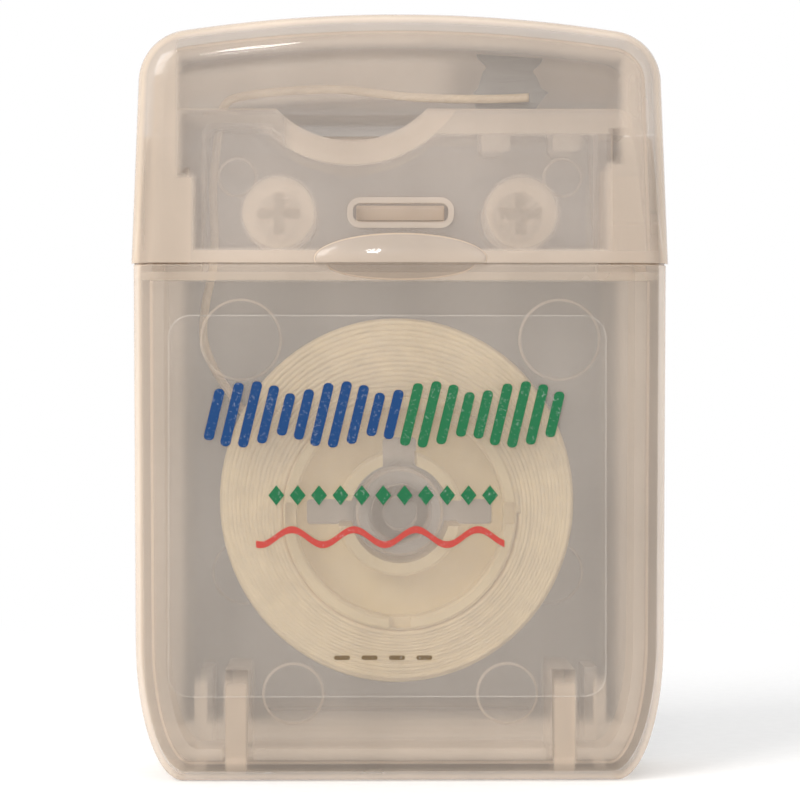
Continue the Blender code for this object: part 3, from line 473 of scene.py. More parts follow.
class Value:
    """A value in a node tree, reckoned with like a number. Each step adds a node."""

    def __init__(self, nodes: Nodes, socket: Socket) -> None:
        """Keeps the tree's helper and the socket that gives the value."""
        self.nodes, self.socket = nodes, socket

    def __add__(self, other: object) -> Value:
        """The sum."""
        return self.nodes.math("ADD", self, other)

    def __sub__(self, other: object) -> Value:
        """The difference."""
        return self.nodes.math("SUBTRACT", self, other)

    def __mul__(self, other: object) -> Value:
        """The product."""
        return self.nodes.math("MULTIPLY", self, other)

    def __abs__(self) -> Value:
        """The size."""
        return self.nodes.math("ABSOLUTE", self)

    def most(self, *others: Value) -> Value:
        """The greatest of this and the others."""
        return reduce(lambda first, second: self.nodes.math("MAXIMUM", first, second), others, self)

    def ramp(self, low: float, high: float, start: float = 0.0, end: float = 1.0) -> Value:
        """The value brought smoothly from the range low to high into the range start to end."""
        given = (self, low, high, start, end)
        return self.nodes.value("ShaderNodeMapRange", *given, interpolation_type="SMOOTHSTEP")

    def toned(self, start: float, end: float) -> Value:
        """A noise brought smoothly into a range."""
        return self.ramp(NOISE_LOW, NOISE_HIGH, start, end)

    def within(self, low: float, high: float, most: float = 1.0) -> Value:
        """The most between two levels, and nought past their soft ends."""
        return self.ramp(low - SOFT, low + SOFT, 0.0, most) * self.ramp(high + SOFT, high - SOFT)

    def near(self, other: Value, radius: float, soft: float) -> Value:
        """One where this and the other lie in a circle, and nought past its soft edge."""
        reach = self.nodes.math("SQRT", self * self + other * other)
        return reach.ramp(radius + soft, radius - soft)


class Nodes:
    """A short way to place nodes and join them in one tree."""

    def __init__(self, tree: Tree) -> None:
        """Keeps the tree that the nodes go into."""
        self.tree = tree

    def feed(self, socket: Socket, value: object) -> None:
        """Joins a value to a socket, or sets the socket's own value.

        Args:
            socket: An input.
            value: A value or an output that feeds it, or its own setting.
        """
        source = value.socket if isinstance(value, Value) else value
        if isinstance(source, Socket):
            self.tree.links.new(source, socket)
        else:
            socket.default_value = source

    def fill(self, node: bpy.types.Node, *given: object, **named: object) -> bpy.types.Node:
        """Feeds and sets a node.

        Args:
            node: The node.
            given: What its first inputs are fed, in their order.
            named: Inputs by their names, with underscores for spaces, and settings in small letters.

        Returns:
            The node.
        """
        for socket, value in zip(node.inputs, given):
            self.feed(socket, value)
        for name, value in named.items():
            if name.islower():
                setattr(node, name, value)
            else:
                self.feed(node.inputs[name.replace("_", " ")], value)
        return node

    def add(self, kind: str, *given: object, **named: object) -> bpy.types.Node:
        """Adds a node, fed and set like fill."""
        return self.fill(self.tree.nodes.new(kind), *given, **named)

    def value(self, kind: str, *given: object, **named: object) -> Value:
        """The first value that a new node gives."""
        return Value(self, self.add(kind, *given, **named).outputs[0])

    def math(self, operation: str, *given: object) -> Value:
        """The value of one Math node."""
        return self.value("ShaderNodeMath", *given, operation=operation)

    def blend(self, *given: object, mode: str = "MIX") -> Socket:
        """Two colours mixed by a factor.

        Args:
            given: The factor, the first and the second colour.
            mode: How they mix.

        Returns:
            The mixed colour.
        """
        node = self.add("ShaderNodeMix", data_type="RGBA", blend_type=mode)
        for socket, value in zip((node.inputs[0], *node.inputs[6:8]), given):
            self.feed(socket, value)
        return node.outputs[2]

    def shaded(self, colour: object, shade: Value) -> Socket:
        """A colour times a grey."""
        grey = self.add("ShaderNodeCombineColor", Red=shade, Green=shade, Blue=shade)
        return self.blend(1.0, colour, grey.outputs[0], mode="MULTIPLY")

    def place(self) -> tuple[Socket, Value, Value, Value]:
        """The object coordinates as a vector, then x, y and z."""
        vector = self.add("ShaderNodeTexCoord").outputs["Object"]
        parts = self.add("ShaderNodeSeparateXYZ", Vector=vector).outputs
        return vector, *(Value(self, part) for part in parts)

    def noise(self, vector: object, scale: float, detail: float = 2.0, roughness: float = 0.5) -> Value:
        """Noise as a value about one half."""
        settings = {"Vector": vector, "Scale": scale, "Detail": detail, "Roughness": roughness}
        return self.value("ShaderNodeTexNoise", **settings)

    def drawn_out(self, scale: Triple) -> Socket:
        """The object coordinates stretched along each axis."""
        return self.add("ShaderNodeMapping", Vector=self.place()[0], Scale=scale).outputs["Vector"]

    def grouped(self, tree: Tree, **inputs: object) -> dict[str, Value]:
        """Places a group, and gives its outputs by name."""
        node = self.add("ShaderNodeGroup", node_tree=tree, **inputs)
        return {socket.name: Value(self, socket) for socket in node.outputs}

    def bump(self, height: Value, distance: float) -> Socket:
        """The normal that a height gives through a Bump node."""
        return self.add("ShaderNodeBump", Height=height, Distance=distance, Strength=1.0).outputs[0]


def rgba(colour: Colour) -> tuple[float, float, float, float]:
    """A colour with full alpha."""
    return (*colour, 1.0)


def new_group(
    name: str, inputs: dict[str, object], outputs: Sequence[str]
) -> tuple[Nodes, dict[str, Value], bpy.types.Node]:
    """An empty shader node group. Its sockets hold numbers, or colours where Colour is in the name.

    Args:
        name: Name of the group.
        inputs: Default value of each input.
        outputs: The outputs' names.

    Returns:
        A helper for its tree, its inputs by name and the node that takes its outputs.
    """
    tree = bpy.data.node_groups.new(name, "ShaderNodeTree")
    for way, labels in (("INPUT", inputs), ("OUTPUT", outputs)):
        for label in labels:
            kind = "NodeSocketColor" if "Colour" in label else "NodeSocketFloat"
            socket = tree.interface.new_socket(label, in_out=way, socket_type=kind)
            if way == "INPUT":
                socket.default_value = inputs[label]
    nodes = Nodes(tree)
    given = {socket.name: Value(nodes, socket) for socket in nodes.add("NodeGroupInput").outputs}
    return nodes, given, nodes.add("NodeGroupOutput")


def flow_group() -> Tree:
    """Flow marks and fine scuffs of a moulded face: a slow cloud and drawn-out hairlines."""
    inputs = {"Depth": 0.5, "Scuffs": 0.5}
    nodes, given, result = new_group("moulding flow", inputs, ("Cloud", "Height", "Scuff"))
    cloud = nodes.noise(nodes.drawn_out((1.0, 1.0, 0.45)), scale=160)
    hair = nodes.noise(nodes.drawn_out((0.12, 1.0, 1.0)), scale=2600, detail=0)
    scuff = (hair + cloud * 0.6).ramp(0.96, 1.12)
    nodes.fill(result, Cloud=cloud, Height=cloud * given["Depth"], Scuff=scuff * given["Scuffs"])
    return nodes.tree


def wall_group() -> Tree:
    """How a translucent wall reads: thin and grey where it is flat, creamy where it turns edge on.

    The share of edge is one minus the size of the object normal's depth part, and painted light
    is added to it where the caller says.
    """
    inputs = {"Thin Colour": rgba((0.4, 0.36, 0.32)), "Thick Colour": rgba((0.6, 0.5, 0.4))}
    inputs |= {"Thin Alpha": 0.3, "Thick Alpha": 0.6, "Edge Light": 0.0, "Cloud": 0.5}
    nodes, given, result = new_group("translucent wall", inputs, ("Colour", "Alpha"))
    normal = nodes.add("ShaderNodeTexCoord").outputs["Normal"]
    flat = abs(Value(nodes, nodes.add("ShaderNodeSeparateXYZ", Vector=normal).outputs[1]))
    # The edge share from the normal, raised by the painted light that the caller gives.
    edge = flat.ramp(0.96, 0.55).most(given["Edge Light"])
    tint = nodes.blend(edge, given["Thin Colour"], given["Thick Colour"])
    alpha = edge * (given["Thick Alpha"] - given["Thin Alpha"]) + given["Thin Alpha"]
    shade = given["Cloud"].toned(0.93, 1.06)
    nodes.fill(result, Colour=nodes.shaded(tint, shade), Alpha=alpha)
    return nodes.tree


def fibre_group() -> Tree:
    """Fine filaments with a slight twist: noise drawn out along the thread's UV map."""
    inputs = {"Twist": 0.1, "Depth": 1.0}
    nodes, given, result = new_group("filaments", inputs, ("Strand", "Height", "Wax"))
    uv = nodes.add("ShaderNodeUVMap", uv_map="thread")
    parts = nodes.add("ShaderNodeSeparateXYZ", Vector=uv.outputs[0]).outputs
    along, round_it = Value(nodes, parts[0]), Value(nodes, parts[1])
    turn = nodes.math("FRACT", along * given["Twist"] + round_it) * math.tau
    rolled = nodes.add(
        "ShaderNodeCombineXYZ", X=nodes.math("COSINE", turn), Y=nodes.math("SINE", turn), Z=along * 0.03
    )
    strand = nodes.noise(rolled.outputs[0], scale=3.2)
    wax = nodes.noise(nodes.place()[0], scale=700, detail=3, roughness=0.6)
    nodes.fill(result, Strand=strand, Height=strand * given["Depth"], Wax=wax)
    return nodes.tree


class Library:
    """The node groups that several materials share, built once."""

    def __init__(self) -> None:
        """Builds every group."""
        self.flow, self.wall, self.fibre = flow_group(), wall_group(), fibre_group()


Mask = Callable[[Nodes], Value]


@dataclass(frozen=True)
class Finish:
    """What the finishes share: a named material, whose Principled shader each fills in its way."""

    name: str

    def inputs(self, nodes: Nodes, library: Library) -> dict[str, object]:
        """The shader's inputs, which each finish works out for itself."""
        raise NotImplementedError

    def material(self, library: Library) -> bpy.types.Material:
        """Builds the material.

        Args:
            library: The shared groups.

        Returns:
            The material.
        """
        material = bpy.data.materials.new(self.name)
        material.use_nodes = True
        nodes = Nodes(material.node_tree)
        nodes.fill(material.node_tree.nodes["Principled BSDF"], **self.inputs(nodes, library))
        return material


@dataclass(frozen=True)
class Patch:
    """A second thin colour and alpha past a level along an axis (1 to 3 for x to z).

    It ends at a depth behind, so that an outer back face keeps one colour.
    """

    axis: int
    level: float
    colour: Colour
    alpha: float
    behind: float = 1.0
    soft: float = 0.0002


@dataclass(frozen=True)
class Polypropylene(Finish):
    """Translucent moulded plastic, whose thin walls are seen through and whose edges look creamier, partly
    from their thickness seen edge on and partly from painted light.

    Painted light gives the places whose colour and alpha are painted lighter, and inner a painted glow
    through Emission that stands for the light a wall passes on.
    """

    thin: Colour
    thick: Colour
    thin_alpha: float
    thick_alpha: float
    # Painted light: a mask that lifts colour and alpha towards the thick ones.
    painted_light: Mask | None = None
    # Painted glow: a mask that feeds Emission in the thick colour.
    inner: Mask | None = None
    patch: Patch | None = None
    gloss: float = 0.0
    gloss_roughness: float = 0.03
    roughness: float = 0.24
    scuffed: float = 0.4
    index: float = 1.49
    sheen: float = 0.25
    ripple: float = 0.00002

    def inputs(self, nodes: Nodes, library: Library) -> dict[str, object]:
        """The shader's inputs, from the flow and wall groups.

        Args:
            nodes: Helper for the material's tree.
            library: The shared groups.

        Returns:
            The value of each input by its name.
        """
        flow = nodes.grouped(library.flow, Depth=1.0, Scuffs=0.05)
        thin, thin_alpha = rgba(self.thin), self.thin_alpha
        if self.patch:
            place, patch, soft = nodes.place(), self.patch, self.patch.soft
            past = place[patch.axis].ramp(patch.level - soft, patch.level + soft)
            past = past * place[2].ramp(patch.behind + soft, patch.behind - soft)
            thin = nodes.blend(past, thin, rgba(patch.colour))
            thin_alpha = past * (patch.alpha - self.thin_alpha) + self.thin_alpha
        wall = nodes.grouped(
            library.wall,
            Thin_Colour=thin,
            Thick_Colour=rgba(self.thick),
            Thin_Alpha=thin_alpha,
            Thick_Alpha=self.thick_alpha,
            Edge_Light=self.painted_light(nodes) if self.painted_light else 0.0,
            Cloud=flow["Cloud"],
        )
        made = {
            "Base_Color": wall["Colour"],
            "Alpha": wall["Alpha"],
            "Roughness": flow["Scuff"] * self.scuffed + self.roughness,
            "IOR": self.index,
            "Specular_IOR_Level": self.sheen,
            "Coat_Weight": self.gloss,
            "Coat_Roughness": self.gloss_roughness,
            "Normal": nodes.bump(flow["Height"], self.ripple),
        }
        # The inner mask paints a glow through Emission in the thick colour.
        if self.inner:
            light = nodes.blend(self.inner(nodes), rgba(BLACK), rgba(self.thick))
            made |= {"Emission_Color": light, "Emission_Strength": 1.0}
        return made


@dataclass(frozen=True)
class WaxedFloss(Finish):
    """Waxed filament: fine fibres along the thread under a soft sheen."""

    name: str = "waxed_floss"
    light: Colour = (0.845, 0.655, 0.370)
    dark: Colour = (0.785, 0.595, 0.325)
    twist: float = 0.05
    ridge: float = 0.00006

    def inputs(self, nodes: Nodes, library: Library) -> dict[str, object]:
        """The shader's inputs, from the filament group.

        Args:
            nodes: Helper for the material's tree.
            library: The shared groups.

        Returns:
            The value of each input by its name.
        """
        fibre = nodes.grouped(library.fibre, Twist=self.twist, Depth=1.0)
        colour = nodes.blend(fibre["Strand"].ramp(0.32, 0.68), rgba(self.dark), rgba(self.light))
        return {
            "Base_Color": nodes.shaded(colour, fibre["Wax"].ramp(0.35, 0.7, 0.92, 1.05)),
            "Roughness": fibre["Wax"].toned(0.42, 0.6),
            "Normal": nodes.bump(fibre["Height"], self.ridge),
        }


@dataclass(frozen=True)
class NaturalPlastic(Finish):
    """Plain moulded plastic of the bobbin, a little cloudy, painted lighter in its recess.

    A painted glow through Emission in its tint stands for the light that the translucent plastic carries
    within, and the recess is painted lighter against the shade that falls in it.
    """

    name: str = "bobbin_plastic"
    colour: Colour = (0.755, 0.580, 0.310)
    # Painted light: the recess colour, lighter against the shade in it.
    painted_recess_light: Colour = (0.810, 0.645, 0.350)
    recess_y: Pair = (-0.0044, -0.0034)
    # Painted glow: Emission strength in the tint.
    painted_glow: float = 0.07
    roughness: float = 0.42
    scuffed: float = 0.3
    alpha: float = 0.9
    ripple: float = 0.00002

    def inputs(self, nodes: Nodes, library: Library) -> dict[str, object]:
        """The shader's inputs, from the flow group.

        Args:
            nodes: Helper for the material's tree.
            library: The shared groups.

        Returns:
            The value of each input by its name.
        """
        flow = nodes.grouped(library.flow, Depth=1.0, Scuffs=0.5)
        tint = nodes.blend(nodes.place()[2].ramp(*self.recess_y), rgba(self.colour), rgba(self.painted_recess_light))
        return {
            "Base_Color": nodes.shaded(tint, flow["Cloud"].toned(0.92, 1.06)),
            "Roughness": flow["Scuff"] * self.scuffed + self.roughness,
            "Emission_Color": tint,
            "Emission_Strength": self.painted_glow,
            "Alpha": self.alpha,
            "Normal": nodes.bump(flow["Height"], self.ripple),
        }


@dataclass(frozen=True)
class SheetSteel(Finish):
    """Rolled sheet steel: brushed along its length, duller in patches."""

    name: str = "cutter_steel"
    colour: Colour = (0.17, 0.162, 0.155)
    grain_scale: float = 5200
    scratch: float = 0.000008

    def inputs(self, nodes: Nodes, library: Library) -> dict[str, object]:
        """The shader's inputs, from drawn-out noise.

        Args:
            nodes: Helper for the material's tree.
            library: The shared groups.

        Returns:
            The value of each input by its name.
        """
        grain = nodes.noise(nodes.drawn_out((0.06, 1.0, 1.0)), self.grain_scale)
        flow = nodes.grouped(library.flow, Depth=1.0, Scuffs=1.0)
        return {
            "Base_Color": nodes.shaded(rgba(self.colour), grain.toned(0.85, 1.1)),
            "Roughness": flow["Cloud"].toned(0.28, 0.5),
            "Metallic": 1.0,
            "Normal": nodes.bump(grain, self.scratch),
        }


@dataclass(frozen=True)
class Film(Finish):
    """Clear film, nearly unseen on its face, or brighter along its cut edge."""

    colour: Colour
    alpha: float
    roughness: float = 0.12
    scuffed: float = 0.3
    ripple: float = 0.00001

    def inputs(self, nodes: Nodes, library: Library) -> dict[str, object]:
        """The shader's inputs, with a faint ripple.

        Args:
            nodes: Helper for the material's tree.
            library: The shared groups.

        Returns:
            The value of each input by its name.
        """
        flow = nodes.grouped(library.flow, Depth=1.0, Scuffs=1.0)
        return {
            "Base_Color": rgba(self.colour),
            "Alpha": flow["Cloud"].ramp(0.25, 0.75, self.alpha * 0.75, self.alpha * 1.2),
            "Roughness": flow["Scuff"] * self.scuffed + self.roughness,
            "Normal": nodes.bump(flow["Height"], self.ripple),
        }


@dataclass(frozen=True)
class Ink(Finish):
    """Printed ink: a solid colour broken by fine speckle where the film shows through."""

    colour: Colour
    grain_scale: float = 5200
    roughness: float = 0.38
    sheen: float = 0.2
    paling: Pair = (0.55, 0.25)

    def inputs(self, nodes: Nodes, library: Library) -> dict[str, object]:
        """The shader's inputs, with a fine speckle.

        Args:
            nodes: Helper for the material's tree.
            library: The shared groups.

        Returns:
            The value of each input by its name.
        """
        speckle = nodes.noise(nodes.place()[0], self.grain_scale, roughness=0.7)
        share, lift = self.paling
        pale = tuple(share * part + lift for part in self.colour)
        return {
            "Base_Color": nodes.blend(speckle.ramp(0.56, 0.85), rgba(self.colour), rgba(pale)),
            "Alpha": speckle.ramp(0.5, 0.85, 0.97, 0.85),
            "Roughness": self.roughness,
            "Specular_IOR_Level": self.sheen,
        }


# Sub-assemblies


@dataclass
class Part:
    """A sub-assembly, which builds its pieces and dresses them from the shared groups."""

    library: Library


def parting_profile(offset: float) -> Outline:
    """Side view of the parting line, moved along its normal.

    It is level at the front, then rises to the back as rise * t^2 * (3 - 2 t) over the share t
    of its run.

    Args:
        offset: How far it is moved, upwards positive.

    Returns:
        Points (y, z) from the front to the back.
    """
    half = DATUM.lid_depth / 2 + OVERRUN
    t = np.linspace(0, 1, PARTING_STEPS + 1)
    y = DATUM.rise_start_y + t * (DATUM.rise_end_y - DATUM.rise_start_y)
    z = DATUM.parting_front_z + (DATUM.parting_back_z - DATUM.parting_front_z) * t * t * (3 - 2 * t)
    ends = (-half, DATUM.parting_front_z), (half, DATUM.parting_back_z)
    points = np.vstack([ends[0], columns(y, z), ends[1]])
    normal = normals(points)
    normal[[0, -1]] = (0, 1)
    return points + offset * normal


def parted(name: str, offset: float, above: bool) -> Piece:
    """A tool that fills the space above or below the parting line.

    Args:
        name: Name of the tool.
        offset: How far the line is moved along its normal.
        above: Whether the space above it is filled.

    Returns:
        The tool.
    """
    half, width = DATUM.lid_depth / 2 + OVERRUN, DATUM.widest + OVERRUN
    level = DATUM.top_z + OVERRUN if above else -OVERRUN
    outline = np.vstack([parting_profile(offset), [(half, level), (-half, level)]])
    return prism(name, outline, Axis.X, -width, width)


@dataclass
class CaseShells(Part):
    """The two half shells of the case, with the neck that the lid closes over."""

    half_width: float = 0.01865
    base_half_width: float = 0.0185
    corner_width: float = 0.0033
    corner_height: float = 0.0098
    corner_points: int = 24
    edge_radius: float = 0.0021
    neck_half: float = 0.0149
    neck_front_y: float = -0.0055
    neck_back_y: float = 0.0046
    neck_wall: float = 0.0010
    neck_foot_z: float = 0.0310
    neck_edge: float = 0.0005
    throat_corner: float = 0.0008
    deck_half: float = 0.0162
    deck_corner: float = 0.0011
    step_left: float = 0.0042
    step_right: float = 0.0014
    scoop_x: float = -0.0034
    scoop_depth: float = 0.0023
    scoop_radius: float = 0.0073
    scoop_flare: float = 0.0007
    tongue_length: float = 0.0034
    tongue_thickness: float = 0.0008
    tongue_root: float = 0.0016
    tongue_drop: float = 0.0005
    seat_gap: float = 0.00015
    peg_x: float = 0.0085
    peg_z: float = 0.0397
    peg_end: float = 0.0030
    peg_radius: float = 0.0015
    peg_arm: float = 0.0008
    socket_radius: float = 0.0026
    socket_bore: float = 0.0018
    socket_height: float = 0.0010
    bar_x: float = 0.0114
    bar_width: float = 0.0016
    bar_low: float = 0.0016
    bar_high: float = 0.0078
    bar_clear: float = 0.0003
    bar_gap: float = 0.00235
    rib_x: float = 0.0134
    rib_thickness: float = 0.0009
    rib_depth: float = 0.00475
    rib_top: float = 0.0073
    foot_rib: Triple = (0.0096, 0.0022, 0.0030)
    post_radius: float = 0.0031
    post_bore: float = 0.0023
    post_end: float = -0.0030
    post_chamfer: float = 0.0002
    spigot_clear: float = 0.0003
    spigot_wall: float = 0.0008
    spigot_reach: float = 0.0022
    outlet: Pair = (-0.0129, 0.0022)
    outlet_radius: float = 0.0013
    outlet_ends: Pair = (-0.0005, 0.0004)
    outlet_bore: float = 0.0008
    bore_ends: Pair = (-0.0030, 0.0024)
    boss_half: float = 0.00075
    boss_low: Pair = (0.0006, -0.0018)
    boss_bend: Pair = (0.0009, -0.0014)
    boss_top: float = 0.001
    slot_half: float = 0.000325
    recess_reach: Triple = (0.0051, 0.0007, 0.0011)
    nub_half: float = 0.003
    nub_z: Pair = (0.039125, 0.040075)
    nub_proud: float = 0.0005
    nub_edge: float = 0.0002
    mark_depth: float = 0.00018
    rear_mark: Triple = (0.0113, 0.0139, 0.0024)
    front_marks: tuple[Triple, Triple] = ((0.0111, 0.0308, 0.00287), (0.00745, 0.00615, 0.00217))
    neck_mark: Triple = (0.0114, 0.0422, 0.0014)

    def case_outline(self, inset: float) -> Outline:
        """Front view of the case: elliptic lower corners and sides that widen a little upwards.

        A corner's point at t is (base - width + width * sin t, inset + height - height * cos t).

        Args:
            inset: How far it is drawn in.

        Returns:
            Points (x, z), one a row.
        """
        width, height = self.corner_width - inset / 2, self.corner_height - inset
        base, side = self.base_half_width - inset, self.half_width - inset
        t = np.linspace(0, math.pi / 2, self.corner_points)
        corner = columns(base - width + width * np.sin(t), inset + height - height * np.cos(t))
        tops = [(side, DATUM.parting_front_z), (side, DATUM.parting_back_z + OVERRUN)]
        return mirrored(np.vstack([corner, tops]))

    def neck_outline(self, inset: float) -> Outline:
        """Front view of the neck, whose deck oversails its side walls, further down on the left.

        Args:
            inset: How far it is drawn in.

        Returns:
            Points (x, z), one a row.
        """
        wall, deck = self.neck_half - inset, self.deck_half - inset
        radius = self.deck_corner - inset
        arc = spokes(np.linspace(0, math.pi / 2, CORNER_STEPS))
        right = (deck - radius, DATUM.deck_z - inset - radius) + radius * arc
        right_z, left_z = DATUM.deck_z - self.step_right, DATUM.deck_z - self.step_left
        start = [(-wall, self.neck_foot_z), (wall, self.neck_foot_z), (wall, right_z), (deck, right_z)]
        return np.vstack([start, mirrored(right), [(-deck, left_z), (-wall, left_z)]])

    def scoop_axis(self) -> Pair:
        """Centre (x, z) of the scoop's cylinder."""
        return (self.scoop_x, DATUM.deck_z - self.scoop_depth + self.scoop_radius)

    def scoop(self, grow: float) -> Piece:
        """The scoop's cylinder, grown all round."""
        outline = circle(self.scoop_axis(), self.scoop_radius + grow, ROUND_SIDES * 2)
        back = (self.neck_back_y + DATUM.inner_back) / 2
        return prism("scoop", outline, Axis.Y, self.neck_front_y - OVERRUN, back)

    def blank(self) -> Piece:
        """The whole hollow case with its neck, before it is cut at the seam."""
        half, wall = DATUM.case_depth / 2, self.neck_wall
        shell = soft_edged("blank", self.case_outline, (-half, half), self.edge_radius)
        cut(shell, parted("case top", 0, above=True))
        front, back = self.neck_front_y, self.neck_back_y
        join(shell, soft_edged("neck", self.neck_outline, (front, back), self.neck_edge))
        ends, radius = (DATUM.inner_front, DATUM.inner_back), self.edge_radius - DATUM.wall
        hollow = soft_edged("hollow", self.case_outline, ends, radius, DATUM.wall)
        cut(hollow, parted("hollow top", -DATUM.wall, above=True))
        inner = self.neck_half - wall
        corners = rectangle(-inner, self.neck_foot_z - OVERRUN, inner, DATUM.deck_z - wall)
        throat = prism("throat", rounded(corners, self.throat_corner), Axis.Y, front + wall, back - wall)
        cut(throat, self.scoop(wall))
        cut(shell, self.scoop(0), hollow, throat)
        return shell

    def half_space(self, low: float, high: float) -> Piece:
        """A tool that takes away everything between two depths."""
        width = DATUM.widest + OVERRUN
        return block("seam", (-width, low, -OVERRUN), (width, high, DATUM.top_z + OVERRUN))

    def marks(self, shell: Piece, kinds: Sequence[Triple], face: float, inward: int) -> None:
        """Cuts round recesses with a sloped wall into an inner face, on both sides.

        Args:
            shell: What they are cut into.
            kinds: The x, z and radius of each pair.
            face: Depth of the inner face.
            inward: 1 where the wall lies behind the face, -1 where it lies before it.
        """
        tools = []
        for x, z, radius in kinds:
            for side in SIDES:
                rings = [
                    at_level(circle((side * x, z), radius - step, ROUND_SIDES), face + inward * step)
                    for step in (self.mark_depth, -self.mark_depth / 2)
                ]
                tools.append(skin("mark", np.stack(rings)))
        cut(shell, *tools)

    def band(self, inner: float, outer: float, low: float, high: float) -> Piece:
        """A band inside the side walls and the floor, open where the bars pass it.

        Args:
            inner: Inset of its inner face.
            outer: Inset of its outer face.
            low: Depth of its front.
            high: Depth of its back.

        Returns:
            The band, up to the parting line.
        """
        body = prism("band", self.case_outline(outer), Axis.Y, low, high)
        core = prism("band core", self.case_outline(inner), Axis.Y, low - OVERRUN, high + OVERRUN)
        cut(body, core, parted("band top", -self.tongue_drop, above=True))
        near = DATUM.seam_y - self.tongue_length - OVERRUN
        notches = [self.bar("notch", side, self.bar_clear, near, high + OVERRUN, 0) for side in SIDES]
        cut(body, *notches)
        return body

    def bar(self, name: str, side: int, clear: float, near: float, far: float, low: float) -> Piece:
        """A bar on one side, or the notch that clears it, from a near to a far depth."""
        middle, half = side * self.bar_x, self.bar_width / 2 + clear
        return block(name, (middle - half, near, low), (middle + half, far, self.bar_high))

    def rear(self, blank: Piece) -> Piece:
        """The rear half: post, sockets, ribs, tongue, outlet and the cutter's seat.

        Args:
            blank: The whole case, which stays as it is.

        Returns:
            The rear half.
        """
        shell = linked("rear_half_shell", blank.data.copy())
        seam = DATUM.seam_y + DATUM.seam_gap / 2
        cut(shell, self.half_space(-DATUM.lid_depth, seam))
        self.marks(shell, [self.rear_mark], DATUM.inner_back, 1)
        outer, back = DATUM.wall + self.seat_gap, seam + self.tongue_root
        inner = outer + self.tongue_thickness
        tongue = self.band(inner, outer, DATUM.seam_y - self.tongue_length, back)
        root = self.band(inner, DATUM.wall - FUSE, seam, back)
        join(shell, root, tongue)
        join(shell, *self.rear_fittings())
        self.seat_cutter(shell)
        for change, radius, ends in (
            (join, self.outlet_radius, self.outlet_ends),
            (cut, self.outlet_bore, self.bore_ends),
        ):
            low, high = (DATUM.deck_z + end for end in ends)
            change(shell, prism("outlet", circle(self.outlet, radius, SMALL_SIDES), Axis.Z, low, high))
        return shell

    def rear_fittings(self) -> list[Piece]:
        """Post, sockets, guide ribs and foot rib, which all stand on the rear wall."""
        wall, end, edge = DATUM.inner_back + FUSE, self.post_end, self.post_chamfer
        outer, bore = self.post_radius, self.post_bore
        post = [(outer, end + edge), (outer, wall), (bore, wall), (bore, end), (outer - edge, end)]
        made = [turned("post", (0, DATUM.post_z), post)]
        low, outer, bore = DATUM.seam_y + self.socket_height, self.socket_radius, self.socket_bore
        for side in SIDES:
            socket = [(outer, low), (outer, wall), (bore, wall), (bore, low)]
            made.append(turned("socket", (side * self.peg_x, self.peg_z), socket))
            left, right = sorted((side * self.rib_x, side * (self.rib_x + self.rib_thickness)))
            foot = (left, DATUM.inner_back - self.rib_depth, DATUM.wall - FUSE)
            made.append(block("rib", foot, (right, wall, self.rib_top)))
        half, depth, level = self.foot_rib
        foot = (-half, DATUM.inner_back - depth, level)
        made.append(block("foot rib", foot, (half, wall, level + self.rib_thickness)))
        return made

    def seat_cutter(self, shell: Piece) -> None:
        """Adds the bosses under the deck, and the slots that take the cutter's legs.

        Args:
            shell: The rear half.
        """
        top, half, slot = DATUM.deck_z - self.neck_wall, self.boss_half, self.slot_half
        section = mirrored(np.array([self.boss_low, self.boss_bend, (self.boss_top, FUSE)]))
        for middle in DATUM.leg_places:
            ends = (DATUM.leg_y - half, DATUM.leg_y + half)
            join(shell, prism("boss", section + (middle, top), Axis.Y, *ends))
            low = (middle - half, DATUM.leg_y - slot, top - OVERRUN)
            high = (middle + half, DATUM.leg_y + slot, DATUM.deck_z + OVERRUN)
            cut(shell, block("slot", low, high))

    def front(self, blank: Piece) -> Piece:
        """The front half: spigot, pegs, bars, marks, finger recess and the latch nub.

        Args:
            blank: The whole case, which stays as it is.

        Returns:
            The front half.
        """
        shell = linked("front_half_shell", blank.data.copy())
        cut(shell, self.half_space(DATUM.seam_y - DATUM.seam_gap / 2, DATUM.lid_depth))
        self.marks(shell, self.front_marks, DATUM.inner_front, -1)
        self.marks(shell, [self.neck_mark], self.neck_front_y + self.neck_wall, -1)
        centre = (0, -DATUM.case_depth / 2, DATUM.parting_front_z)
        cut(shell, ellipsoid("recess", centre, self.recess_reach))
        join(shell, *self.front_fittings())
        return shell

    def front_fittings(self) -> list[Piece]:
        """Spigot, pegs and bars, which stand on the front wall, and the latch nub."""
        wall, neck_wall = DATUM.inner_front - FUSE, self.neck_front_y + self.neck_wall - FUSE
        outer, end = self.post_bore - self.spigot_clear, self.post_end + self.spigot_reach
        bore = outer - self.spigot_wall
        spigot = [(outer, wall), (outer, end), (bore, end), (bore, wall)]
        made = [turned("spigot", (0, DATUM.post_z), spigot)]
        for side in SIDES:
            x, long, short = side * self.peg_x, self.peg_radius, self.peg_arm / 2
            for wide, high in ((long, short), (short, long)):
                low = (x - wide, neck_wall, self.peg_z - high)
                made.append(block("peg arm", low, (x + wide, self.peg_end, self.peg_z + high)))
            made.append(self.bar("bar", side, 0, wall, DATUM.inner_back - self.bar_gap, self.bar_low))
        inner = -DATUM.lid_depth / 2 + DATUM.wall
        tip, root, (low, high) = inner - self.nub_proud, self.neck_front_y + self.neck_wall / 2, self.nub_z
        nub = np.array([(root, low), (inner, low), (tip, high - self.nub_edge), (tip, high), (root, high)])
        made.append(prism("nub", nub, Axis.X, -self.nub_half, self.nub_half))
        return made

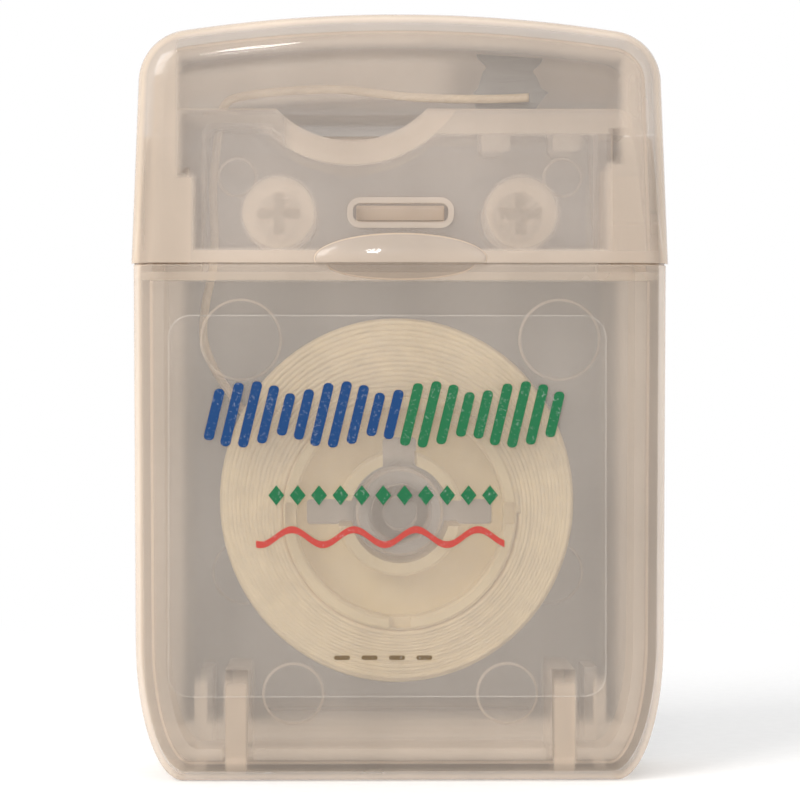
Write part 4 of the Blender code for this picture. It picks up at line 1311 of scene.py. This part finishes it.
    def build(self) -> None:
        """Builds both halves and dresses them."""
        blank = self.blank()
        rear, front = self.rear(blank), self.front(blank)
        bpy.data.objects.remove(blank, do_unlink=True)
        upper = {"axis": 3, "level": DATUM.parting_front_z, "colour": (0.530, 0.470, 0.425)}
        # Painted light lifts colour and alpha in places, and inner paints a glow through Emission.
        masks = {"painted_light": self.painted_light_places, "inner": self.painted_glow}
        back = Polypropylene(
            "case_rear_plastic",
            # The rear wall's thin colour is darker than the plastic itself: painted shade of the shadowed
            # inside, seen through the front.
            thin=(0.372, 0.330, 0.288),
            thick=(0.70, 0.570, 0.440),
            thin_alpha=0.80,
            thick_alpha=0.82,
            patch=Patch(alpha=0.80, behind=(DATUM.inner_back + DATUM.case_depth / 2) / 2, **upper),
            **masks,
        )
        face = Polypropylene(
            "case_front_plastic",
            thin=(0.372, 0.330, 0.290),
            thick=(0.74, 0.600, 0.470),
            thin_alpha=0.29,
            thick_alpha=0.52,
            patch=Patch(alpha=0.25, **upper),
            **masks,
        )
        for shell, finish, node in ((rear, back, "rear_shell"), (front, face, "front_cover")):
            smooth(shell)
            hand_over(shell, "case", "case_plastic", finish.material(self.library), node)

    def painted_light_places(self, nodes: Nodes) -> Value:
        """Where light is painted onto the case.

        Inside the rear wall these are the places named below, and besides them the side walls and
        the foot, which also has two painted dark lines of shade. Each is a product of soft steps along
        x, y and z, times its share of painted light.

        Args:
            nodes: Helper for the material's tree.

        Returns:
            The share of painted light, about 0 to 1.
        """
        _, x, y, z = nodes.place()
        wide, deck_z, neck = abs(x), DATUM.deck_z, self.neck_half
        middle = sum(DATUM.leg_places) / 2
        off_leg = abs(abs(x - middle) - (middle - DATUM.leg_places[0]))
        centre_x, centre_z = self.scoop_axis()
        scoop_radius = self.scoop_radius + self.neck_wall + self.scoop_flare
        step = deck_z - self.step_left
        top = DATUM.parting_front_z
        above = z.ramp(top, top + 0.0004) * z.ramp(step + 0.0002, step - 0.0002)
        scoop = (x - centre_x).near(z - centre_z, scoop_radius, SOFT)
        strip = wide.ramp(neck - 0.0001, neck + 0.0003) * above
        peg = (wide - self.peg_x).near(z - self.peg_z, self.socket_radius, 0.0003)
        bar = abs(wide - self.bar_x).ramp(0.0010, 0.0006)
        hung = z + x.ramp(0.0, 0.0002, 0.0, 0.0008)
        # Painted light at each inner place, times its share.
        inside = {
            "shoulder": z.ramp(0.03480, 0.03495) * z.ramp(0.03562, 0.03545) * y.ramp(-0.0052, -0.0057) * 0.6,
            "pegs": peg * y.ramp(-0.0044, -0.0042, 0.75, 1.35),
            "bars": bar * z.ramp(self.bar_high + SOFT, self.bar_high - 0.0012, 0.0, 1.1) * 0.65,
            "ribs": wide.within(self.rib_x, self.rib_x + self.rib_thickness) * z.ramp(0.0078, 0.0066) * 0.4,
            "scoop": scoop * x.ramp(-0.0084, -0.0074, 0.45, 1.0) * 0.85,
            "strips": strip.most(x.within(neck - self.neck_wall, neck) * above * 0.45) * 1.3,
            "deck": hung.ramp(deck_z - 0.0012, deck_z - 0.0009) * x.ramp(0.0, 0.0002, 0.5, 0.8) * 0.8,
            "bosses": off_leg.ramp(0.0011, 0.0009) * z.within(deck_z - 0.0030, deck_z - 0.0008) * 0.45,
            "lid root": z.within(0.0355, 0.0367) * 0.4,
            "nub": z.within(0.0390, 0.0402) * wide.ramp(0.0032, 0.0030) * y.ramp(-0.0053, -0.0055) * 0.9,
        }
        first, *others = inside.values()
        # Painted light on the side walls, weaker on their outer band.
        side = wide.ramp(0.0145, 0.0155) * wide.ramp(0.0179, 0.0185, 0.31, 0.22)
        # Painted light across the foot, less in two painted dark lines of shade, and more at the very
        # bottom.
        foot = z.ramp(0.0050, 0.0038, 0.0, 0.4)
        foot = foot - z.within(0.0025, 0.0029, 0.12) - z.within(0.0010, 0.0017, 0.30)
        foot = foot.most(z.ramp(0.0010, 0.0008, 0.0, 0.6))
        # The inner places are painted on inner faces only, so that the outer back face keeps one colour.
        return (first.most(*others) * y.ramp(0.0064, 0.0060)).most(side, foot)

    def painted_glow(self, nodes: Nodes) -> Value:
        """A painted glow in the post and behind the keyways, for the light that the pale pack passes on.

        Args:
            nodes: Helper for the material's tree.

        Returns:
            The share of painted glow, about 0 to 1.
        """
        _, x, y, z = nodes.place()
        rise, back = z - DATUM.post_z, DATUM.inner_back + 0.0002
        hub = x.near(rise, 0.0036, 0.0004)
        ring = (x.near(rise, 0.0072, 0.0005) - hub) * y.within(DATUM.inner_back - 0.0003, back, 0.32)
        return ring + hub * y.within(DATUM.inner_front + 0.0006, back, 0.07)


@dataclass
class Lid(Part):
    """The flip lid: a deep cap with a thumb lip and a latch window, and its hinge web."""

    half_width: float = 0.01888
    top_half_width: float = 0.01830
    crown_rise: float = 0.00115
    edge_gap: float = 0.00012
    corner_radius: float = 0.0037
    edge_radius: float = 0.0022
    lip_rise: float = 0.0004
    lip_reach: Triple = (0.0060, 0.00075, 0.0018)
    window_half: float = 0.0033
    window_low: float = 0.03892
    window_high: float = 0.04024
    window_corner: float = 0.0005
    window_rim: float = 0.0004
    window_proud: float = 0.00012
    hinge_y: float = 0.0074
    hinge_z: float = 0.0465
    hinge_half: float = 0.0100
    hinge_clear: float = 0.0004
    web_bow: float = 0.00045
    web_sink: float = 0.00002
    web_rise: float = 0.0011
    web_half: float = 0.00013
    web_points: int = 33
    web_root: float = 0.0001
    web_blend: float = 0.0005

    def outline(self, inset: float) -> Outline:
        """Front view of the lid: sides that close in upwards, round corners and a low crown.

        The crown is corner top + rise * (1 - (x / reach)^2), which meets the corner arcs in line.

        Args:
            inset: How far it is drawn in.

        Returns:
            Points (x, z), one a row.
        """
        radius, half = self.corner_radius - inset, self.top_half_width - inset
        slope = math.atan(2 * self.crown_rise / (half - radius))
        reach = half - radius + radius * math.sin(slope)
        corner_top = DATUM.top_z - inset - self.crown_rise
        arc = spokes(np.linspace(0, math.pi / 2 - slope, CORNER_STEPS + 1))
        corner = (half - radius, corner_top - radius * math.cos(slope)) + radius * arc
        x = np.linspace(reach, 0, CROWN_STEPS // 2 + 1)[1:-1]
        crown = columns(x, corner_top + self.crown_rise * (1 - (x / reach) ** 2))
        foot = [(self.half_width - inset, DATUM.parting_front_z - OVERRUN)]
        return mirrored(np.vstack([foot, corner, crown]))

    def hollow_outline(self, inset: float) -> Outline:
        """The lid's outline with its foot lowered, so that the hollow runs out through the edge."""
        outline = self.outline(inset)
        outline[outline[:, 1] <= DATUM.parting_front_z - OVERRUN, 1] -= OVERRUN
        return outline

    def window(self, name: str, grow: float, low: float, high: float) -> Piece:
        """The window's outline, grown all round and carried from one depth to another."""
        half = self.window_half + grow
        corners = rectangle(-half, self.window_low - grow, half, self.window_high + grow)
        return prism(name, rounded(corners, self.window_corner + grow), Axis.Y, low, high)

    def shell(self) -> Piece:
        """The lid's body."""
        back, wall, radius = DATUM.lid_depth / 2, DATUM.wall, self.edge_radius
        front = -back
        lid = soft_edged("lid_shell", self.outline, (front, back), radius)
        lip = ellipsoid("lip", (0, front, DATUM.parting_front_z + self.lip_rise), self.lip_reach)
        rim = self.window("rim", self.window_rim, front - self.window_proud, front + wall / 2)
        join(lid, lip, rim)
        hollow = soft_edged("hollow", self.hollow_outline, (front + wall, back - wall), radius - wall, wall)
        opening = self.window("opening", 0, front - OVERRUN, front + wall + FUSE)
        width = self.hinge_half + self.hinge_clear
        high = (width, back + OVERRUN, self.hinge_z + self.hinge_clear)
        back_edge = block("back edge", (-width, back - wall - FUSE, -OVERRUN), high)
        cut(lid, hollow, parted("edge", self.edge_gap, above=False), opening, back_edge)
        smooth(lid)
        return lid

    def web(self) -> Piece:
        """The hinge web: a thin strip from the case's back wall over to the lid's.

        Its section is a path of (y, z) points thickened by half its thickness to both sides, thin
        in the middle and fuller at both ends.
        """
        t = np.linspace(-1, 1, self.web_points)
        y = self.hinge_y - self.web_bow * np.abs(t) ** 3 - self.web_sink
        path = columns(y, self.hinge_z + self.web_rise * t)
        spread = (self.web_half + self.web_root * t**2)[:, None] * normals(path)
        outline = np.vstack([path - spread, (path + spread)[::-1]])
        return prism("hinge_web", outline, Axis.X, -self.hinge_half, self.hinge_half)

    def build(self) -> None:
        """Builds the lid and its web, and dresses them."""
        plastic = Polypropylene(
            "lid_plastic",
            thin=(0.44, 0.386, 0.339),
            thick=(0.60, 0.475, 0.36),
            thin_alpha=0.20,
            thick_alpha=0.76,
            # Painted light at the lid's lower edge, window rim, sides and crown.
            painted_light=self.painted_light_places,
            patch=Patch(axis=2, level=0.0, colour=(0.350, 0.303, 0.263), alpha=0.66),
            gloss=0.65,
        )
        hand_over(self.shell(), "lid", "lid_plastic", plastic.material(self.library), "lid")
        web = self.web()
        smooth(web)
        colours = {"thin": (0.5, 0.44, 0.38), "thick": (0.62, 0.52, 0.42)}
        finish = Polypropylene("hinge_plastic", **colours, thin_alpha=0.6, thick_alpha=0.7)
        web.data.materials.append(finish.material(self.library))
        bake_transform(web)
        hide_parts("living_hinge")
        LOG.info("hinge_web: %d faces between case and lid", len(web.data.polygons))

    def painted_light_places(self, nodes: Nodes) -> Value:
        """Where light is painted onto the lid: its lower edge, the window's rim, its sides and crown.

        Level follows the crown: it is the height plus what the crown has dropped at that x.

        Args:
            nodes: Helper for the material's tree.

        Returns:
            The share of painted light, about 0 to 1.
        """
        _, x, y, z = nodes.place()
        wide, foot = abs(x), DATUM.parting_front_z
        edge = z.ramp(foot + 0.00125, foot + 0.0009) * y.ramp(-0.0050, -0.0056) * 0.5
        proud = y.ramp(-0.00702, -0.00706) * 0.5
        shoulder = (z + x.ramp(-0.001, 0.001, -0.0013, -0.0022)).ramp(0.0412, 0.0406)
        side = wide.ramp(0.0149, 0.0157).most(shoulder * wide.ramp(0.0140, 0.0146))
        # Painted light on the sides, stronger towards the back and weaker to the right, away from the key
        # lamp.
        side = side * y.ramp(-0.001, 0.001, 0.55, 0.95) * x.ramp(-0.005, 0.005, 1.0, 0.8)
        side = side * wide.ramp(0.0174, 0.0181, 1.0, 0.75)
        level = x * x * 4.5 + z
        back = z.ramp(0.0466, 0.0500) * y.ramp(-0.001, 0.001) * level.ramp(0.0522, 0.0529, 1.0, 0.3)
        # Painted light on the inner crown, more on the left.
        painted_crown_light = level.ramp(0.0472, 0.0478) * level.ramp(0.0506, 0.0500) * x.ramp(0.0045, 0.0020, 0.02, 0.22)
        return edge.most(proud, side, back, painted_crown_light, level.ramp(0.0508, 0.0516, 0.0, 0.35))


@dataclass
class Cutter(Part):
    """The cutter: a strip of sheet steel with a tab folded up, a prong, and two legs folded down."""

    thickness: float = 0.00035
    seat: float = 0.00015
    left: float = 0.0053
    length: float = 0.0073
    front_y: float = 0.0010
    depth: float = 0.0028
    corner: float = 0.0003
    tab_inset: float = 0.0003
    tab_width: float = 0.0048
    tab_height: float = 0.0046
    waist: float = 0.0007
    waist_rise: float = 0.0033
    waist_reach: float = 0.0005
    waist_start: float = 0.0003
    tab_foot: float = 0.0003
    tab_steps: int = 18
    left_lift: float = 0.9
    prong: float = 0.0004
    prong_ends: Pair = (0.0007, 0.0003)
    prong_dips: Pair = (0.0002, 0.0001)
    leg_width: float = 0.0012
    leg_length: float = 0.0017
    leg_tip: float = 0.6
    leg_taper: float = 0.0004
    leg_root: float = 0.0001
    worn: float = 0.00004

    def tab_outline(self) -> Outline:
        """Front view of the tab: narrow at a round waist, with a prong half way below it.

        Each side is x = edge - inset * exp(-((z - waist) / reach)^2), and below the waist it runs
        to the prong and back. The left side stands higher by its lift, in thicknesses.
        """
        left, foot = self.left + self.tab_inset, DATUM.deck_z + self.tab_foot
        right, top = left + self.tab_width, DATUM.deck_z + self.tab_height
        neck = DATUM.deck_z + self.waist_rise
        z = np.linspace(neck - self.waist_start, top - self.thickness, self.tab_steps)
        dip = self.waist * np.exp(-(((z - neck) / self.waist_reach) ** 2))
        middle, (start, end), (out, back) = (foot + neck) / 2, self.prong_ends, self.prong_dips
        below = [(right - self.waist, foot), (right - out, middle - start)]
        below += [(right + self.prong, middle), (right - back, middle + end)]
        other = [(left + back, middle + end), (left - self.prong / 2, middle), (left, foot)]
        rise = columns(right - dip, z)
        fall = columns(left + dip, z + self.thickness * self.left_lift)[::-1]
        return np.vstack([below, rise, fall, other])

    def build(self) -> None:
        """Builds the cutter and dresses it."""
        low, half, thick = DATUM.deck_z + self.seat, self.leg_width / 2, self.thickness
        corners = rectangle(self.left, self.front_y, self.left + self.length, self.front_y + self.depth)
        blade = prism("cutter_strip", rounded(corners, self.corner, steps=6), Axis.Z, low, low + thick)
        tab = prism("tab", self.tab_outline(), Axis.Y, self.front_y, self.front_y + thick)
        foot = low - self.leg_length
        tip, sides = (half * self.leg_tip, foot), (foot + self.leg_taper, low + self.leg_root)
        section = mirrored(np.array([tip, *((half, z) for z in sides)]))
        ends = (DATUM.leg_y - thick / 2, DATUM.leg_y + thick / 2)
        legs = [prism("leg", section + (middle, 0), Axis.Y, *ends) for middle in DATUM.leg_places]
        join(blade, tab, *legs)
        soften = blade.modifiers.new("worn edges", "BEVEL")
        soften.width, soften.segments, soften.limit_method = self.worn, 2, "ANGLE"
        settle(blade)
        smooth(blade, degrees=40)
        hand_over(blade, "case", "cutter_steel", SheetSteel().material(self.library), "cutter_blade")


@dataclass
class Bobbin(Part):
    """The bobbin: rim, hub and web turned in one profile, with keyways and notches cut through."""

    half: float = 0.0047
    radius: float = 0.0082
    rim: float = 0.0009
    bore: float = 0.0035
    hub_wall: float = 0.0009
    web_y: float = -0.0012
    web: float = 0.0014
    keyway_height: float = 0.0018
    keyway_corner: float = 0.0003
    keyway_gap: float = 0.0007
    top_keyway: float = 0.0012
    top_gap: float = 0.002
    notch_width: float = 0.0015
    notch_depth: float = 0.0006
    chamfer: float = 0.00018

    def build(self) -> None:
        """Builds the bobbin and dresses it."""
        hub, rim, outer, post = self.bore + self.hub_wall, self.radius - self.rim, self.radius, DATUM.post_z
        front, back, edge = self.web_y - self.web / 2, self.web_y + self.web / 2, self.chamfer
        end, half = self.half, self.half + OVERRUN
        section = [(outer, end - edge), (outer, edge - end), (outer - edge, -end), (rim + edge, -end)]
        section += [(rim, edge - end), (rim, front), (hub, front), (hub, edge - end), (hub - edge, -end)]
        section += [(self.bore, -end), (self.bore, end), (hub, end), (hub, back), (rim, back)]
        section += [(rim, end), (outer - edge, end)]
        bobbin = turned("bobbin_body", (0, post), section, ROUND_SIDES * 2)
        reach, rise, top = rim - self.keyway_gap, self.keyway_height / 2, self.top_keyway
        sideways = rectangle(-reach, post - rise, reach, post + rise)
        upright = rectangle(-top, post, top, post + rim - self.top_gap)
        outlines = [rounded(corners, self.keyway_corner, steps=6) for corners in (sideways, upright)]
        cut(bobbin, *(prism("keyway", each, Axis.Y, -half, half) for each in outlines))
        spread = self.notch_width / 2
        for angle in (0, math.pi, -math.pi / 2):
            x, z = rim * math.cos(angle), post + rim * math.sin(angle)
            high = (x + spread, self.notch_depth - end, z + spread)
            cut(bobbin, block("notch", (x - spread, -half, z - spread), high))
        smooth(bobbin)
        hand_over(bobbin, "spool", "bobbin_plastic", NaturalPlastic().material(self.library), "bobbin")


@dataclass
class Winding(Part):
    """The wound floss: one thread that winds out over the front, across the rim and in again."""

    inner_radius: float = 0.0083
    outer_radius: float = 0.01244
    half_width: float = 0.00372
    thread_radius: float = 0.00028
    pitch: float = 0.00029
    swell: float = 0.00050
    lean: float = -0.0002
    oval: float = 0.018
    waver: float = 0.00002
    waves: tuple[Triple, ...] = ((1, 0.37, 1.3), (1, 1.71, 0), (0.6, 2.63, 0.8))
    steps_a_turn: int = 84
    sides: int = 8
    core_inner: float = 0.00825
    core_outer: float = 0.01220
    core_half: float = 0.00362
    core_swell: float = 0.8

    def laid(self, radius: np.ndarray, angle: np.ndarray) -> tuple[np.ndarray, np.ndarray]:
        """Where a turn lies: the outer turns have slumped, so they are off centre and oval.

        With share 0 to 1 from the inner to the outer turns, x = lean * share + radius * (1 - oval *
        share) * cos(angle), and z = post + (pack - post) * share + radius * (1 + oval * share / 2)
        * sin(angle).

        Args:
            radius: Radius of each point.
            angle: Angle of each point.

        Returns:
            The x and z of each point.
        """
        share = np.clip((radius - self.inner_radius) / (self.outer_radius - self.inner_radius), 0, 1)
        x = self.lean * share + radius * (1 - self.oval * share) * np.cos(angle)
        middle = DATUM.post_z + (DATUM.pack_z - DATUM.post_z) * share
        return x, middle + radius * (1 + self.oval * share / 2) * np.sin(angle)

    def path(self) -> np.ndarray:
        """Middle of the thread, as one path.

        Out: the radius grows evenly with the angle, and the depth is the half width plus a swell
        that falls off as (1 - share)^2 towards the rim. Across: the depth grows evenly at the outer
        radius. In: as out, at the back face. As laid thread does, each turn wavers a little by a sum
        of waves, each of which is share * sin(angle * rate + start).

        Returns:
            Points along the path.
        """
        width, grow, outer = self.half_width, self.pitch, self.outer_radius
        lengths = (outer - self.inner_radius, 2 * width)
        out, over = (np.linspace(0, s / grow, int(s / grow * self.steps_a_turn)) for s in lengths)
        turn = np.concatenate([out, out[-1] + over[1:], out[-1] + over[-1] + out[1:]])
        radius = [self.inner_radius + grow * out, np.full(len(over) - 1, outer), outer - grow * out[1:]]
        heap = width + self.swell * (1 - out / out[-1]) ** 2
        depth = np.concatenate([-heap, -width + grow * over[1:], heap[::-1][1:]])
        angle = math.tau * turn
        waves = (share * np.sin(angle * rate + start) for share, rate, start in self.waves)
        waver = self.waver * sum(waves)
        depth = depth + np.where(np.abs(depth) >= width, np.sign(depth) * np.minimum(0, waver), waver)
        x, z = self.laid(np.concatenate(radius) - np.abs(waver), angle)
        return columns(x, depth, z)

    def build(self) -> None:
        """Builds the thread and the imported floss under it, and dresses them."""
        path, finish = self.path(), WaxedFloss().material(self.library)
        outwards = path - (0, 0, DATUM.pack_z)
        turns = thread("wound_floss", path, self.thread_radius, outwards, self.sides)
        hand_over(turns, "spool", "floss", finish, "floss_outer_turns")
        self.core(finish)

    def core(self, finish: bpy.types.Material) -> None:
        """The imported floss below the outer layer: a section swept round, off the post's axis.

        Args:
            finish: The floss's material.
        """
        angle = np.arange(ROUND_SIDES * 2) * math.tau / (ROUND_SIDES * 2)
        middle = (self.core_inner + self.core_outer) / 2
        inner = (self.core_inner, self.core_half + self.core_swell * self.swell)
        back = np.array([inner, (middle, self.core_half), (self.core_outer, self.core_half)])
        section = np.vstack([back * (1, -1), back[::-1]])
        x, z = self.laid(section[:, :1], angle[None, :])
        rings = np.stack([x, np.broadcast_to(section[:, 1:], x.shape), z], axis=-1)
        core = skin("packed_floss", rings, closed_along=True)
        core.data.uv_layers.new(name="thread")
        smooth(core)
        hand_over(core, "spool", "floss", finish, "floss_core")


@dataclass
class Strand(Part):
    """The floss from the winding up through the outlet and over the deck to the cutter."""

    radius: float = 0.00031
    points: int = 220
    sides: int = 14
    flat: float = 0.82
    towards: Triple = (0.3, 1.0, 0.2)
    route: tuple[Triple, ...] = (
        (-0.0088, 0.00482, 0.0212), (-0.0098, 0.00465, 0.0232), (-0.0110, 0.00458, 0.0252),
        (-0.0123, 0.00448, 0.0271), (-0.0135, 0.00415, 0.0290), (-0.0142, 0.00340, 0.0312),
        (-0.0140, 0.00270, 0.0336), (-0.01345, 0.00230, 0.0362), (-0.01335, 0.0022, 0.0390),
        (-0.01345, 0.0022, 0.0420), (-0.01320, 0.0022, 0.0447), (-0.01290, 0.0022, 0.0470),
        (-0.01240, 0.0022, 0.0482), (-0.01080, 0.0022, 0.0487), (-0.00800, 0.0021, 0.0490),
        (-0.00440, 0.0019, 0.0491), (-0.00180, 0.0016, 0.0488), (0.00040, 0.0011, 0.0485),
        (0.00250, 0.0004, 0.0483), (0.00430, -0.0001, 0.0482), (0.00700, -0.0002, 0.0482),
        (0.00930, -0.0002, 0.0483),
    )

    def build(self) -> None:
        """Builds the strand and dresses it."""
        path = smooth_route(np.array(self.route), self.points)
        strand = thread("floss_run", path, self.radius, np.array(self.towards), self.sides, self.flat)
        colours = {"light": (0.82, 0.65, 0.45), "dark": (0.72, 0.56, 0.37)}
        finish = WaxedFloss("waxed_floss_run", **colours, twist=0.12)
        hand_over(strand, "case", "floss", finish.material(self.library), "floss_strand")


@dataclass
class Label(Part):
    """The clear film on the front, with a plain printed pattern of bars, diamonds and a wave."""

    left: float = -0.0161
    right: float = 0.0143
    bottom: float = 0.0060
    top: float = 0.0325
    corner: float = 0.0016
    face_y: float = -0.0070
    back_y: float = -0.0069
    edge: float = 0.00010
    ink_thickness: float = 0.00001
    bar_row: Row = (-0.0129, 0.0107, 20)
    bar_heights: Pair = (0.0013, 0.0010)
    bar_beat: Pair = (0.62, 0.5)
    bars_z: float = 0.0256
    bar_half: float = 0.00036
    bar_slant: float = 0.24
    bar_corner: float = 0.0003
    left_bars: int = 11
    diamond_row: Row = (-0.0086, 0.0062, 11)
    diamonds_z: float = 0.0200
    diamond_reach: Pair = (0.00055, 0.0007)
    wave_row: Row = (-0.0100, 0.0072, 121)
    wave_z: float = 0.0171
    wave_height: float = 0.00052
    wave_length: float = 0.0043
    wave_half: float = 0.00024
    dash_row: Row = (-0.0046, 0.0011, 4)
    dash_length: float = 0.0011
    dash_z: Pair = (0.0086, 0.0089)
    dash_corner: float = 0.00014

    def outline(self, inset: float) -> Outline:
        """The film's outline, drawn in all round."""
        corners = rectangle(self.left + inset, self.bottom + inset, self.right - inset, self.top - inset)
        return rounded(corners, self.corner - inset)

    def film(self) -> None:
        """Builds the film as one closed sheet, with its rim in a finish of its own."""
        steps = [(self.edge, self.back_y), (0, self.back_y)]
        steps += [(0, self.face_y + self.edge / 3), (self.edge, self.face_y)]
        film = skin("label_film_sheet", np.stack([at_level(self.outline(inset), y) for inset, y in steps]))
        clear = Film("label_film", colour=(0.62, 0.58, 0.54), alpha=0.022)
        rim = Film("label_film_edge", colour=(0.66, 0.60, 0.54), alpha=0.13)
        for finish in (clear, rim):
            film.data.materials.append(finish.material(self.library))
        quads = read(film.data.polygons, "loop_total") == 4
        film.data.polygons.foreach_set("material_index", quads.astype(np.int32))
        hand_over(film, "case", "label_film", None, "front_label")

    def slanted_bars(self) -> list[tuple[int, Outline]]:
        """A row of slanted bars that swell and fall, the left ones in ink 0, the right ones in 1."""
        middles, (least, more), (beat, start) = np.linspace(*self.bar_row), self.bar_heights, self.bar_beat
        heights = least + more * np.abs(np.sin(np.arange(len(middles)) * beat + start))
        shapes = []
        for k, (x, half) in enumerate(zip(middles, heights)):
            corners = rectangle(x - self.bar_half, self.bars_z - half, x + self.bar_half, self.bars_z + half)
            corners[:, 0] += self.bar_slant * (corners[:, 1] - self.bars_z)
            shapes.append((int(k >= self.left_bars), rounded(corners, self.bar_corner, steps=5)))
        return shapes

    def diamonds(self) -> list[tuple[int, Outline]]:
        """A row of diamonds in ink 1."""
        wide, high = self.diamond_reach
        reach = np.array([(-wide, 0), (0, -high), (wide, 0), (0, high)])
        return [(1, reach + (x, self.diamonds_z)) for x in np.linspace(*self.diamond_row)]

    def wave(self) -> list[tuple[int, Outline]]:
        """A ribbon in ink 2 along z = z0 + a sine of x, as thick above it as below."""
        x = np.linspace(*self.wave_row)
        z = self.wave_z + self.wave_height * np.sin(x * math.tau / self.wave_length)
        lower, upper = (columns(x, z + side * self.wave_half) for side in SIDES)
        return [(2, np.vstack([lower, upper[::-1]]))]

    def dashes(self) -> list[tuple[int, Outline]]:
        """Short dashes in ink 3 near the foot."""
        (low, high), lefts = self.dash_z, np.linspace(*self.dash_row)
        corners = [rectangle(x, low, x + self.dash_length, high) for x in lefts]
        return [(3, rounded(each, self.dash_corner, steps=4)) for each in corners]

    def build(self) -> None:
        """Builds the film and the print on it."""
        self.film()
        inks = {"blue": (0.002, 0.034, 0.122), "green": (0.007, 0.104, 0.038)}
        inks |= {"red": (0.365, 0.045, 0.035), "grey": (0.120, 0.080, 0.040)}
        ends = (self.face_y - self.ink_thickness, self.face_y + self.ink_thickness)
        bm = bmesh.new()
        for ink, outline in self.slanted_bars() + self.diamonds() + self.wave() + self.dashes():
            part, before = prism("ink", outline, Axis.Y, *ends), len(bm.faces)
            bm.from_mesh(part.data)
            bm.faces.ensure_lookup_table()
            for face in bm.faces[before:]:
                face.material_index = ink
            bpy.data.objects.remove(part, do_unlink=True)
        mesh = bpy.data.meshes.new("label_print")
        bm.to_mesh(mesh)
        bm.free()
        for name, colour in inks.items():
            mesh.materials.append(Ink(f"ink_{name}", colour).material(self.library))
        hand_over(linked("label_print", mesh), "case", "label_film", None)


# Stage


@dataclass
class Studio:
    """Camera, soft lamps, pale floor and white surroundings."""

    camera_at: Triple = (-0.003, -0.200, 0.0266)
    yaw_degrees: float = -0.88
    lens: float = 125.4
    sensor: float = 36
    middle: Triple = (0, 0, 0.027)
    floor_half: float = 2.0
    world_strength: float = 0.585

    def stand(self, name: str, data: bpy.types.ID, at: Triple, turn: Triple) -> Piece:
        """Puts a camera or a lamp into the scene at a place and a turn.

        Args:
            name: Name of the new object.
            data: The camera or the lamp.
            at: Where it stands.
            turn: Its turn about each axis.

        Returns:
            The object.
        """
        obj = bpy.data.objects.new(name, data)
        obj.location, obj.rotation_euler = at, turn
        bpy.context.scene.collection.objects.link(obj)
        return obj

    def camera(self) -> None:
        """A level camera, turned a little towards the middle of the case."""
        data = bpy.data.cameras.new("camera")
        data.lens, data.sensor_width, data.clip_start = self.lens, self.sensor, 0.01
        turn = (math.pi / 2, 0, math.radians(self.yaw_degrees))
        bpy.context.scene.camera = self.stand("camera", data, self.camera_at, turn)

    def lamp(self, name: str, at: Triple, size: Pair, power: float, tint: Colour) -> None:
        """A lamp that looks at the middle of the case.

        Args:
            name: Name of the lamp.
            at: Where it stands.
            size: Its width and height.
            power: Its power in watts.
            tint: Its colour.
        """
        data = bpy.data.lights.new(name, "AREA")
        data.shape = "RECTANGLE"
        data.size, data.size_y, data.energy, data.color = *size, power, tint
        x, y, z = np.array(self.middle) - np.array(at)
        self.stand(name, data, at, (math.atan2(math.hypot(x, y), -z), 0, math.atan2(-x, y)))

    def seen_white(self, nodes: Nodes) -> Value:
        """One for rays from the camera, off gloss and through glass, and otherwise nought."""
        path = nodes.add("ShaderNodeLightPath").outputs
        rays = [Value(nodes, path[f"Is {kind} Ray"]) for kind in ("Camera", "Glossy", "Transmission")]
        return rays[0].most(*rays[1:])

    def surroundings(self) -> None:
        """A world that is white where it is seen and lights the object at a plain level."""
        world = bpy.data.worlds.new("surroundings")
        bpy.context.scene.world = world
        world.use_nodes = True
        nodes, level = Nodes(world.node_tree), self.world_strength
        strength = self.seen_white(nodes) * (1.0 - level) + level
        nodes.fill(world.node_tree.nodes["Background"], Color=rgba(WHITE), Strength=strength)

    def floor(self) -> None:
        """A pale floor that keeps the shadow, and turns white away from the object."""
        half = self.floor_half
        mesh = bpy.data.meshes.new("floor")
        corners = [(x, y, 0) for x, y in rectangle(-half, -half, half, half)]
        mesh.from_pydata(corners, [], [(0, 1, 2, 3)])
        material = bpy.data.materials.new("pale_floor")
        material.use_nodes = True
        nodes, tree = Nodes(material.node_tree), material.node_tree.nodes
        vector, x, y, _ = nodes.place()
        tone = nodes.noise(vector, scale=900, detail=3).toned(0.93, 0.96)
        shader = tree["Principled BSDF"]
        nodes.fill(shader, Base_Color=nodes.shaded(rgba(WHITE), tone), Roughness=0.9)
        white = nodes.add("ShaderNodeEmission", Color=rgba(WHITE))
        reach = nodes.math("SQRT", x * x + y * y)
        share = reach.ramp(0.03, 0.14, 0.25, 1.0) * self.seen_white(nodes)
        mixed = nodes.add("ShaderNodeMixShader", share, shader.outputs[0], white.outputs[0])
        nodes.feed(tree["Material Output"].inputs["Surface"], mixed.outputs[0])
        mesh.materials.append(material)
        linked("floor", mesh)

    def build(self) -> None:
        """Sets up the stage."""
        scene = bpy.context.scene
        scene.view_settings.view_transform = "Standard"
        scene.cycles.transparent_max_bounces = 40
        self.camera()
        self.lamp("key", at=(-0.46, -0.52, 0.40), size=(0.42, 0.42), power=6.0, tint=(1.0, 0.985, 0.965))
        self.lamp("fill", at=(0.50, -0.50, 0.22), size=(0.5, 0.5), power=1.1, tint=(1.0, 0.99, 0.98))
        self.lamp("top", at=(0.05, 0.10, 0.75), size=(0.5, 0.5), power=1.0, tint=WHITE)
        self.lamp("flash", at=(-0.026, -0.300, 0.128), size=(0.016, 0.045), power=0.11, tint=WHITE)
        self.surroundings()
        self.floor()


def main() -> None:
    """Builds every sub-assembly in its order."""
    logging.basicConfig(level=logging.INFO, format="%(message)s", stream=sys.stdout)
    for obj in list(bpy.data.objects):
        bpy.data.objects.remove(obj, do_unlink=True)
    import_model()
    library = Library()
    for kind in (CaseShells, Lid, Cutter, Bobbin, Winding, Strand, Label):
        kind(library).build()
    Studio().build()


if __name__ == "__main__":
    main()
